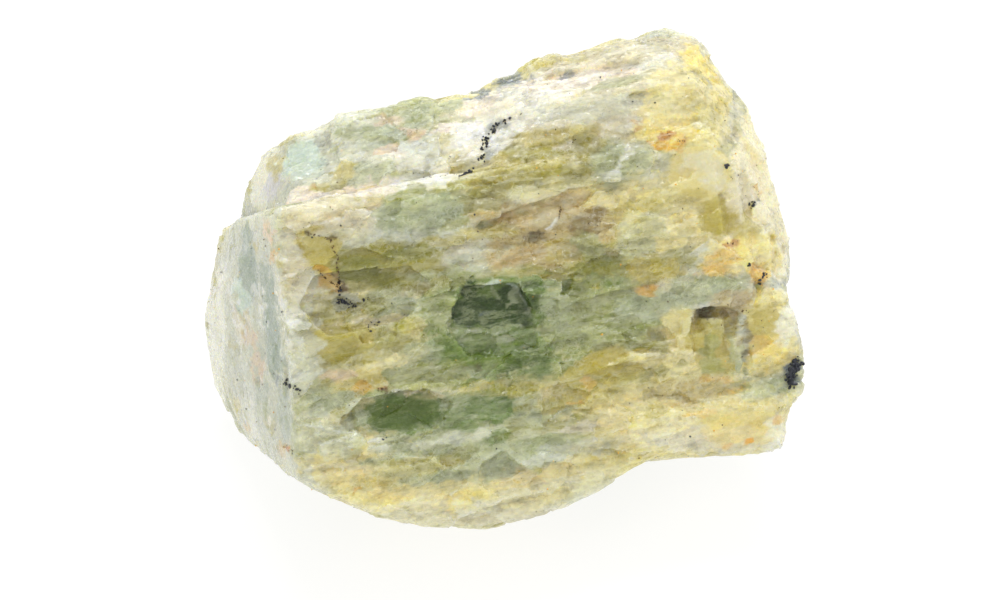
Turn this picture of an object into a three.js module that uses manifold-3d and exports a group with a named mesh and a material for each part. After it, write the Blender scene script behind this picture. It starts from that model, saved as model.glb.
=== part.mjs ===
// A rough beryl crystal: the broken stub of a stout six-sided prism, lying on one side.
// The prism's long axis runs left to right, turned a little so that the left end shows.
// It is one piece of stone: cleaved blocks grown together, then cut, chipped and flaked.
// Lengths are in millimetres, x to the right, y to the back and z up from the surface it rests on.
import * as THREE from 'three';
import { ConvexGeometry } from 'three/addons/geometries/ConvexGeometry.js';
import { MeshSurfaceSampler } from 'three/addons/math/MeshSurfaceSampler.js';
import { mergeVertices } from 'three/addons/utils/BufferGeometryUtils.js';
import Module from 'manifold-3d';

const wasm = await Module();
wasm.setup();

const radians = THREE.MathUtils.degToRad;

// The prism axis, along which the stone splits and its faces are striped, in degrees from x towards y.
const AXIS_TURN = 15;
const AXIS = new THREE.Vector3(Math.cos(radians(AXIS_TURN)), Math.sin(radians(AXIS_TURN)), 0);
const UP = new THREE.Vector3(0, 0, 1);

// Blocks that are joined, each the convex hull of its corners [x, y, z].
const FRONT_PRISM = [
  // left end: down the front ridge, then back along the foot and up again
  [-18.1, -9.7, 31.6], [-17.0, -16.0, 22.6], [-16.2, -22.0, 13.2], [-20.2, -9.0, 4.0], [-23.4, -2.6, 1.2],
  [-25.6, 1.2, 3.0], [-26.6, 3.9, 6.4], [-26.2, 3.2, 9.6], [-24.3, 5.4, 18.0],
  // lower front edge, left to right
  [-13.8, -22.2, 11.6], [-9.8, -22.6, 9.6], [-6.6, -22.6, 8.8], [-1.2, -22.0, 7.7], [2.1, -20.9, 7.8],
  [4.6, -20.2, 8.0], [7.5, -18.9, 8.9], [10.0, -17.6, 9.6],
  // upper front edge and the right end
  [-3.3, -4.3, 31.2], [1.6, -3.6, 31.5], [16.6, 0.4, 31.6], [19.6, -0.8, 28.8], [21.4, -5.9, 20.6],
  [20.8, -10.2, 14.0], [18.0, -12.4, 12.0],
  // foot, then the back ridge
  [-13.0, -8.0, 0.0], [0.0, -9.5, 0.0], [12.0, -5.0, 0.0], [17.6, 2.0, 0.0], [14.3, 12.1, 0.0],
  [-18.5, 3.3, 0.0], [-23.6, 10.8, 12.0], [14.1, 20.6, 12.0], [19.6, 14.4, 11.0], [21.4, 3.0, 6.0],
];
const BACK_SLAB = [
  [-18.1, 2.8, 30.0], [-20.1, 3.1, 27.6], [-21.8, 2.7, 23.6], [-22.4, 3.1, 20.6], [-13.0, 2.7, 30.9],
  [-8.4, 2.9, 31.6], [-3.4, 4.3, 32.2], [-17.0, -6.4, 28.6], [-2.0, -2.4, 31.0],
  [-23.2, 10.4, 12.6], [3.0, 17.4, 12.6], [-14.0, -2.0, 12.0], [0.0, 6.0, 32.0],
];
const TOP_BLOCK = [
  [-3.6, 4.3, 32.3], [0.0, 6.9, 33.0], [2.5, 7.7, 33.6], [5.9, 9.2, 34.1], [10.2, 10.4, 34.7],
  [13.6, 11.3, 35.1], [17.1, 11.3, 34.0], [18.5, 8.8, 32.4], [20.9, 6.8, 30.0], [5.0, 1.3, 34.2],
  [11.6, 2.8, 34.9], [16.0, 4.3, 34.4],
  [1.6, -3.4, 31.4], [16.6, 0.6, 31.5], [-4.0, -3.0, 30.4], [19.6, -0.6, 28.6],
  [-0.6, 17.2, 12.4], [14.0, 21.0, 12.6], [19.8, 14.6, 13.0], [20.4, 12.4, 22.0], [0.0, 0.0, 14.0],
];
const RIGHT_SHOULDER = [
  [20.9, 6.8, 30.0], [22.2, 5.1, 27.0], [23.5, 2.7, 24.5], [24.7, 0.9, 20.5], [25.0, 0.5, 17.8],
  [16.6, 0.8, 31.4], [19.6, -0.8, 28.8], [21.6, -5.2, 20.8], [24.0, 5.0, 12.0], [20.6, 12.6, 21.0],
  [20.8, 13.0, 10.0], [10.0, 0.0, 12.0], [22.8, -3.4, 18.4], [24.1, -4.6, 18.0], [23.8, -2.0, 10.0],
];
const RIGHT_LOBE = [
  [24.0, -5.4, 18.5], [25.4, -6.9, 16.7], [25.95, -8.0, 14.5], [25.5, -9.6, 12.5], [24.8, -10.8, 11.6],
  [21.6, -7.4, 18.6], [21.2, -10.8, 14.6], [21.6, -12.0, 12.2], [24.0, 0.0, 9.0], [14.0, -4.0, 9.0],
  [24.6, -2.0, 16.0], [22.6, -4.6, 20.4], [23.5, -3.8, 19.6],
];
const LOWER_SHELF = [
  [23.6, -14.1, 9.2], [24.5, -12.8, 9.8], [24.3, -11.5, 11.0], [12.3, -16.4, 10.5], [14.6, -14.2, 13.6],
  [20.6, -12.3, 13.4], [7.0, -15.3, 14.0], [22.0, -7.0, 5.0], [9.0, -9.0, 3.0], [23.4, -8.0, 12.4],
  [24.6, -10.6, 12.0], [22.2, -11.8, 13.6],
];
const TOP_STEP = [
  [-15.9, 2.6, 30.5], [-13.9, 2.7, 31.8], [-13.2, 2.6, 32.4], [-9.0, 2.8, 32.5], [-6.2, 3.2, 32.6],
  [-3.4, 4.4, 32.9], [-0.5, 5.6, 33.0], [-12.4, -3.4, 29.4], [-5.0, -3.6, 30.6], [-12.0, 6.0, 28.4],
  [0.0, 9.0, 29.2], [0.0, -1.6, 31.6],
];

// Cuts, each the convex hull of its corners. A cut reaches out past the face that it opens.
const SEAM = [
  [-20.5, -7.4, 33.0], [-20.5, -5.6, 33.0], [-17.6, -7.0, 29.2],
  [-2.8, -4.6, 33.6], [-2.8, -2.6, 33.6], [-5.0, -3.9, 30.2],
];
const PIT = [
  // outside the face, then the floor: deep under the upper rim, shallow below
  [16.6, -8.9, 20.7], [20.8, -8.3, 19.8], [19.9, -12.2, 16.0], [16.9, -12.5, 16.5], [15.9, -10.6, 19.2],
  [16.1, -6.9, 19.0], [20.0, -6.3, 18.2], [19.5, -11.1, 15.1], [16.6, -11.3, 15.6], [15.8, -9.1, 17.9],
];
const NOTCH = [
  [20.0, -8.4, 20.2], [21.7, -8.2, 19.9], [20.7, -6.2, 18.4],
  [20.5, -11.1, 16.6], [21.2, -10.9, 16.2], [20.8, -9.5, 15.8],
];
const FOOT_CUT = { width: 80, depth: 10 };

// Fresh cleavage scars seen on the front, each sunk along one edge and level with the face at the other.
const FRONT_SCARS = [
  { middle: [-0.6, -11.3, 21.6], length: 9.6, width: 6.0, depth: 0.6 },
  { middle: [-8.2, -17.2, 16.6], length: 8.2, width: 3.4, depth: 0.5 },
  { middle: [9.6, -9.6, 20.6], length: 14.0, width: 4.4, depth: 0.5 },
  { middle: [-11.6, -12.2, 24.6], length: 11.0, width: 5.2, depth: 0.55 },
];
const FRONT_NORMAL = new THREE.Vector3(0.212, -0.791, 0.574).normalize();

// Short six-sided prisms that stand in the pit, side by side, leaning back with the face.
const PIT_COLUMNS = [
  { middle: [17.7, -8.9, 16.2], radius: 1.1, length: 5.4 },
  { middle: [19.7, -9.4, 15.4], radius: 0.75, length: 3.6 },
  { middle: [16.5, -9.6, 16.5], radius: 0.6, length: 3.2 },
];
const COLUMN_SIDES = 6;
const COLUMN_SPREAD = 1.12;
const COLUMN_LEAN = -34;

// Dark grains that stick out on the right edge.
const GRAINS = [
  { middle: [25.0, -9.0, 13.6], radius: 0.75 },
  { middle: [24.8, -9.9, 12.7], radius: 0.85 },
  { middle: [25.3, -8.3, 14.4], radius: 0.55 },
];

// Shingles stand proud of the faces, scars are sunk into them, and both run along the axis.
const SHINGLES = { count: 42, length: [4, 12], width: [1.6, 4.2], height: [0.2, 0.6], tilt: 10 };
const SCARS = { count: 62, length: [3, 12], width: [1.2, 4.2], height: [0.2, 0.65], tilt: 12 };
// A shingle narrows to this share of its length on top, and its steep side leans in by this much.
const END_TAPER = 0.62;
const RISER_LEAN = 0.12;
// How deep a shingle's root goes, and how uneven the ground under it may be.
const OVERLAP = 1.2;
const SEAT_TOLERANCE = 0.35;
// Chips break the edges whose faces meet at more than the sharp angle. A chip's floor leans and twists by
// up to so many degrees, and its sides open outwards from its width to flare times that at its height.
const CHIPS = { gap: [1.8, 5.5], length: [1.8, 6.0], depth: [0.1, 0.4], lean: 16, twist: 7 };
const CHIP_TOOL = { width: 3.2, height: 1.0, flare: 1.6 };
// A chip whose tool would be filled by more than this share lies in a corner, and is left out.
const MOST_BITE = 0.16;
const SHARP_ANGLE = 40;
const SHORTEST_EDGE = 1.5;
// Sizes vary by this share either way. Faces that look along the axis more than this count as end faces.
const JITTER = 0.3;
const END_FACE_LIMIT = 0.7;
// No shingle, scar or chip is this near the foot.
const FOOT_MARGIN = 1.6;
const WELD = 1e-4;
const SEED = 45;
const STONE_COLOUR = 0xa8ae7c;
const STONE_ROUGHNESS = 0.45;

// A repeatable stream of numbers from 0 to 1.
function seededRandom(seed) {
  let state = seed;
  return () => {
    state = (state + 0x6d2b79f5) | 0;
    let mixed = Math.imul(state ^ (state >>> 15), 1 | state);
    mixed = (mixed + Math.imul(mixed ^ (mixed >>> 7), 61 | mixed)) ^ mixed;
    return ((mixed ^ (mixed >>> 14)) >>> 0) / 4294967296;
  };
}
const random = seededRandom(SEED);
const between = ([low, high]) => low + (high - low) * random();
const either = (size) => (random() * 2 - 1) * size;

function point([x, y, z]) {
  return new THREE.Vector3(x, y, z);
}

// A three.js geometry as a solid that can be joined and cut.
function solid(geometry) {
  const bare = geometry.clone();
  bare.deleteAttribute('normal');
  bare.deleteAttribute('uv');
  const merged = mergeVertices(bare, WELD);
  return new wasm.Manifold(new wasm.Mesh({
    numProp: 3,
    vertProperties: merged.attributes.position.array,
    triVerts: new Uint32Array(merged.index.array),
  }));
}

// A solid as a three.js geometry again.
function geometryOf(body) {
  const mesh = body.getMesh();
  return new THREE.BufferGeometry()
    .setAttribute('position', new THREE.BufferAttribute(mesh.vertProperties, 3))
    .setIndex(new THREE.BufferAttribute(mesh.triVerts, 1));
}

function block(corners) {
  return solid(new ConvexGeometry(corners.map(point)));
}

// The frame of a spot on the surface: its first axis runs along the grain, its third points out.
function spotFrame(position, grain, normal, turn, lean, twist) {
  const along = grain.clone().addScaledVector(normal, -grain.dot(normal)).normalize();
  const across = new THREE.Vector3().crossVectors(normal, along);
  const frame = new THREE.Matrix4().makeBasis(along, across, normal).setPosition(position);
  const tilt = new THREE.Euler(radians(either(lean)), radians(either(twist)), radians(either(turn)));
  return frame.multiply(new THREE.Matrix4().makeRotationFromEuler(tilt));
}

// A shingle or the tool of a scar: a long wedge with a steep edge on one side, tapered at both ends.
// It is level with the surface at its thin side; a negative height sinks it.
function wedge(frame, length, width, height, side) {
  const half = length / 2;
  const knock = () => 1 + either(JITTER);
  const sunk = height < 0 ? OVERLAP : -OVERLAP;
  const lean = RISER_LEAN * side * Math.sign(height);
  const outline = [
    [-half * knock(), 0, 0], [half * knock(), 0, 0],
    [-half * END_TAPER * knock(), (-side * width) / 2, 0],
    [half * END_TAPER * knock(), (-side * width) / 2, 0],
    [-half * END_TAPER * knock(), (side * width * knock()) / 2, height * knock()],
    [half * END_TAPER * knock(), (side * width * knock()) / 2, height * knock()],
  ];
  const roots = outline.map(([x, y]) => [x, y + lean, sunk]);
  const corners = [...outline, ...roots].map((corner) => point(corner).applyMatrix4(frame));
  return solid(new ConvexGeometry(corners));
}

// Spots spread over a body's surface whose wedges lie on flat ground, away from the foot.
function flatSpots(body, { count, length, width, height, tilt }) {
  const mesh = new THREE.Mesh(geometryOf(body).toNonIndexed());
  const sampler = new MeshSurfaceSampler(mesh).setRandomGenerator(random).build();
  const ray = new THREE.Raycaster();
  const position = new THREE.Vector3();
  const normal = new THREE.Vector3();
  const isSeated = (frame, x, y) => {
    const above = new THREE.Vector3(x, y, OVERLAP).applyMatrix4(frame);
    ray.set(above, normal.clone().negate());
    const [hit] = ray.intersectObject(mesh);
    return hit !== undefined && Math.abs(hit.distance - OVERLAP) < SEAT_TOLERANCE;
  };
  const spots = [];
  while (spots.length < count) {
    sampler.sample(position, normal);
    const side = random() < 0.5 ? -1 : 1;
    const spot = { length: between(length), width: between(width), height: between(height), side };
    const grain = Math.abs(normal.dot(AXIS)) > END_FACE_LIMIT ? UP : AXIS;
    spot.frame = spotFrame(position, grain, normal, tilt, 0, 0);
    const ends = [[-spot.length / 2, 0], [spot.length / 2, 0], [0, -spot.width / 2], [0, spot.width / 2]];
    const isFlat = ends.every(([x, y]) => isSeated(spot.frame, x, y));
    if (position.z > FOOT_MARGIN && isFlat) spots.push(spot);
  }
  return spots;
}

function withShingles(body) {
  const spots = flatSpots(body, SHINGLES);
  return spots.reduce((whole, { frame, length, width, height, side }) => (
    whole.add(wedge(frame, length, width, height, side))), body);
}

function withScars(body) {
  const spots = flatSpots(body, SCARS);
  return spots.reduce((whole, { frame, length, width, height, side }) => (
    whole.subtract(wedge(frame, length, width, -height, side))), body);
}

// The sharp outward edges of a body, each with its ends and the way out between its two faces.
function sharpEdges(body) {
  const { vertProperties, triVerts } = body.getMesh();
  const corner = (index) => new THREE.Vector3().fromArray(vertProperties, index * 3);
  const sharpest = Math.cos(radians(SHARP_ANGLE));
  const sides = new Map();
  const edges = [];
  for (let first = 0; first < triVerts.length; first += 3) {
    const indices = [...triVerts.slice(first, first + 3)];
    const triangle = new THREE.Triangle(...indices.map(corner));
    const normal = triangle.getNormal(new THREE.Vector3());
    indices.forEach((start, turn) => {
      const end = indices[(turn + 1) % 3];
      const opposite = corner(indices[(turn + 2) % 3]);
      const other = sides.get(`${end}-${start}`);
      if (other === undefined) {
        sides.set(`${start}-${end}`, { normal, opposite });
        return;
      }
      const a = corner(start);
      const b = corner(end);
      const isOutward = other.normal.dot(opposite.clone().sub(a)) < 0;
      const isSharp = other.normal.dot(normal) < sharpest;
      const isLong = a.distanceTo(b) > SHORTEST_EDGE;
      const isHigh = (a.z + b.z) / 2 > FOOT_MARGIN;
      if (isOutward && isSharp && isLong && isHigh) {
        edges.push({ a, b, out: other.normal.clone().add(normal).normalize() });
      }
    });
  }
  return edges;
}

// The tool of a chip: a flat floor with sides that open outwards.
function chipTool(frame, length) {
  const corners = [];
  for (const x of [-1, 1]) {
    for (const y of [-1, 1]) {
      for (const [z, spread] of [[0, 1], [CHIP_TOOL.height, CHIP_TOOL.flare]]) {
        const reach = (length * spread * (1 + either(JITTER))) / 2;
        const side = (CHIP_TOOL.width * spread) / 2;
        corners.push(new THREE.Vector3(x * reach, y * side, z).applyMatrix4(frame));
      }
    }
  }
  return solid(new ConvexGeometry(corners));
}

// Breaks the sharp edges with rows of small flat chips of uneven size.
function withChippedEdges(body) {
  let chipped = body;
  for (const { a, b, out } of sharpEdges(body)) {
    const grain = b.clone().sub(a).normalize();
    const reach = a.distanceTo(b);
    for (let walked = between(CHIPS.gap) / 2; walked < reach; walked += between(CHIPS.gap)) {
      const position = a.clone().addScaledVector(grain, walked).addScaledVector(out, -between(CHIPS.depth));
      const frame = spotFrame(position, grain, out, 0, CHIPS.lean, CHIPS.twist);
      const tool = chipTool(frame, between(CHIPS.length));
      const bite = chipped.intersect(tool).volume() / tool.volume();
      if (bite < MOST_BITE) chipped = chipped.subtract(tool);
    }
  }
  return chipped;
}

// One of the fresh scars on the front face, steep along its upper edge.
function frontScar({ middle, length, width, depth }) {
  const frame = spotFrame(point(middle), AXIS, FRONT_NORMAL, 0, 0, 0);
  return wedge(frame, length, width, -depth, 1);
}

// Leaves out loose crumbs and closed bubbles that the cuts left behind.
function largestPiece(body) {
  return body.decompose().reduce((largest, piece) => (piece.volume() > largest.volume() ? piece : largest));
}

function pitColumn({ middle, radius, length }) {
  const column = new THREE.CylinderGeometry(radius, radius * COLUMN_SPREAD, length, COLUMN_SIDES);
  column.rotateX(Math.PI / 2 + radians(COLUMN_LEAN));
  return solid(column.translate(...middle));
}

function grain({ middle, radius }) {
  return solid(new THREE.IcosahedronGeometry(radius, 0).rotateY(random()).translate(...middle));
}

let stone = block(FRONT_PRISM);
for (const corners of [BACK_SLAB, TOP_BLOCK, RIGHT_SHOULDER, RIGHT_LOBE, LOWER_SHELF, TOP_STEP]) {
  stone = stone.add(block(corners));
}
stone = withChippedEdges(stone);
stone = withShingles(stone);
stone = withScars(stone);
for (const scar of FRONT_SCARS) {
  stone = stone.subtract(frontScar(scar));
}
for (const corners of [SEAM, PIT, NOTCH]) {
  stone = stone.subtract(block(corners));
}
for (const addition of [...PIT_COLUMNS.map(pitColumn), ...GRAINS.map(grain)]) {
  stone = stone.add(addition);
}
const foot = new THREE.BoxGeometry(FOOT_CUT.width, FOOT_CUT.width, FOOT_CUT.depth);
stone = stone.subtract(solid(foot.translate(0, 0, -FOOT_CUT.depth / 2)));
stone = largestPiece(stone);

// The stone is centred over its own footprint box.
const shape = geometryOf(stone);
shape.computeBoundingBox();
const centre = shape.boundingBox.getCenter(new THREE.Vector3());
shape.translate(-centre.x, -centre.y, -shape.boundingBox.min.z);

const crystal = new THREE.Mesh(
  shape,
  new THREE.MeshStandardMaterial({ color: STONE_COLOUR, roughness: STONE_ROUGHNESS, metalness: 0 }),
);
crystal.name = 'beryl_crystal';

const part = new THREE.Group();
part.add(crystal);

export default part;
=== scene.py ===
"""A rough beryl crystal lying on a pale table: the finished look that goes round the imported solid."""
import math

import bmesh
import bpy
import numpy as np
from bpy.props import FloatProperty, FloatVectorProperty, IntProperty, PointerProperty
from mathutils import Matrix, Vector
from mathutils.bvhtree import BVHTree


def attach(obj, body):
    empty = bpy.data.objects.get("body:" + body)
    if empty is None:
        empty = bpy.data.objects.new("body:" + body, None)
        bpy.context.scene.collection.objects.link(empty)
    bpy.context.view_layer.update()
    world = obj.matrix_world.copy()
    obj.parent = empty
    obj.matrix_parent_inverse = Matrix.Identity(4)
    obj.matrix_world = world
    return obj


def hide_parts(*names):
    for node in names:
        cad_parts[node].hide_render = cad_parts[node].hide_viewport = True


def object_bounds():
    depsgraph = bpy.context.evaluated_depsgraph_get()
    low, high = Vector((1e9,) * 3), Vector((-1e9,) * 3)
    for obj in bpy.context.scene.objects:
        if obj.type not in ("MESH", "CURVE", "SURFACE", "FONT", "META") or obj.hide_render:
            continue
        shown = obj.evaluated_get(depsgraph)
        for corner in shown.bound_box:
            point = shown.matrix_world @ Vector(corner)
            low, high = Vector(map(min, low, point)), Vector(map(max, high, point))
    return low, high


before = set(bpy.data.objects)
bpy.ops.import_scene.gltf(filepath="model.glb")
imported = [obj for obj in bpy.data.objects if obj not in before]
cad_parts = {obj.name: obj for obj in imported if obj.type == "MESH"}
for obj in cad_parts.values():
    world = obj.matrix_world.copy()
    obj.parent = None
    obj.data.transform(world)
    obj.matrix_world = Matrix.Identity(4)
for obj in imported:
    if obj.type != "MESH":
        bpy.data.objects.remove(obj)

bl_info = {
    "name": "Beryl Crystal",
    "version": (1, 0, 0),
    "blender": (4, 5, 0),
    "location": "3D View > Sidebar > Crystal",
    "description": "Grows a rough beryl crystal round its packed solid and sets it on a pale table",
    "category": "Add Mesh",
}

CAD_BOX = [list(corner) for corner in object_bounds()]
NODE = "beryl_crystal"
BODY = "root"

MM = 0.001
# The prism axis lies 15 degrees from +X, turned towards +Y.
AXIS_TURN = math.radians(15.0)
# The camera of the photograph: what it aims at (mm) and the size of its frame (px).
AIM_MM = np.array([0.3253, 1.0828, 14.0])
FRAME_PX = (1000, 600)
SENSOR_MM = 36.0
# A piece of the scene holds no more triangles than this.
MOST_TRIANGLES = 196000

# The colours of the stone's zones as seen in white light, and what each stands for. Some paint light and
# shade instead, as marked beside them.
PALETTE = {
    "cream": ((0.84, 0.81, 0.69), "weathered crust, nearly white"),
    # Painted light: a glow painted on thin edges, as if light shone through them.
    "painted_rim_glow": ((0.94, 0.94, 0.87), "thin edges that let light through"),
    # Painted light: thin yellow stone painted lighter, as if lit from behind.
    "glow": ((0.98, 0.94, 0.78), "thin yellow stone with light behind it"),
    "white": ((0.97, 0.97, 0.94), "milky veins"),
    "veil": ((0.95, 0.95, 0.86), "milky fractures"),
    "pink": ((0.94, 0.89, 0.82), "pinkish seam filling"),
    "peach": ((0.90, 0.80, 0.68), "peach coloured film"),
    "aqua": ((0.62, 0.67, 0.60), "smooth blue-green panels"),
    "mint": ((0.80, 0.86, 0.80), "pale blue-green panel"),
    "mist": ((0.80, 0.81, 0.73), "pale grey-green"),
    "lavender": ((0.78, 0.77, 0.82), "lavender-grey recess"),
    "straw": ((0.92, 0.87, 0.60), "pale yellow stone"),
    "butter": ((0.97, 0.89, 0.50), "yellow stain, light"),
    "ochre": ((0.90, 0.69, 0.22), "iron stain"),
    "rust": ((0.72, 0.42, 0.05), "iron stain, dark"),
    "khaki": ((0.74, 0.68, 0.28), "yellow-olive stone"),
    "olive": ((0.59, 0.56, 0.11), "olive-green stone"),
    "moss": ((0.50, 0.50, 0.11), "deep olive-green stone"),
    "forest": ((0.20, 0.30, 0.02), "dark clear green"),
    "leaf": ((0.41, 0.51, 0.19), "medium clear green"),
    "sage": ((0.60, 0.63, 0.36), "grey-green, cloudy"),
    "haze": ((0.69, 0.72, 0.56), "paler grey-green, cloudy"),
    "taupe": ((0.70, 0.61, 0.36), "brownish pink stone"),
    "mauve": ((0.81, 0.71, 0.47), "greyish pink stone"),
    # Partly painted shade: brown filling in cracks, also used as the shade in cracks, in the pit and in its
    # notch.
    "umber": ((0.30, 0.20, 0.02), "brown in cracks"),
    "slate": ((0.42, 0.47, 0.50), "grey-blue smears"),
    "ink": ((0.07, 0.09, 0.14), "blue-black grains"),
}
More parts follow.
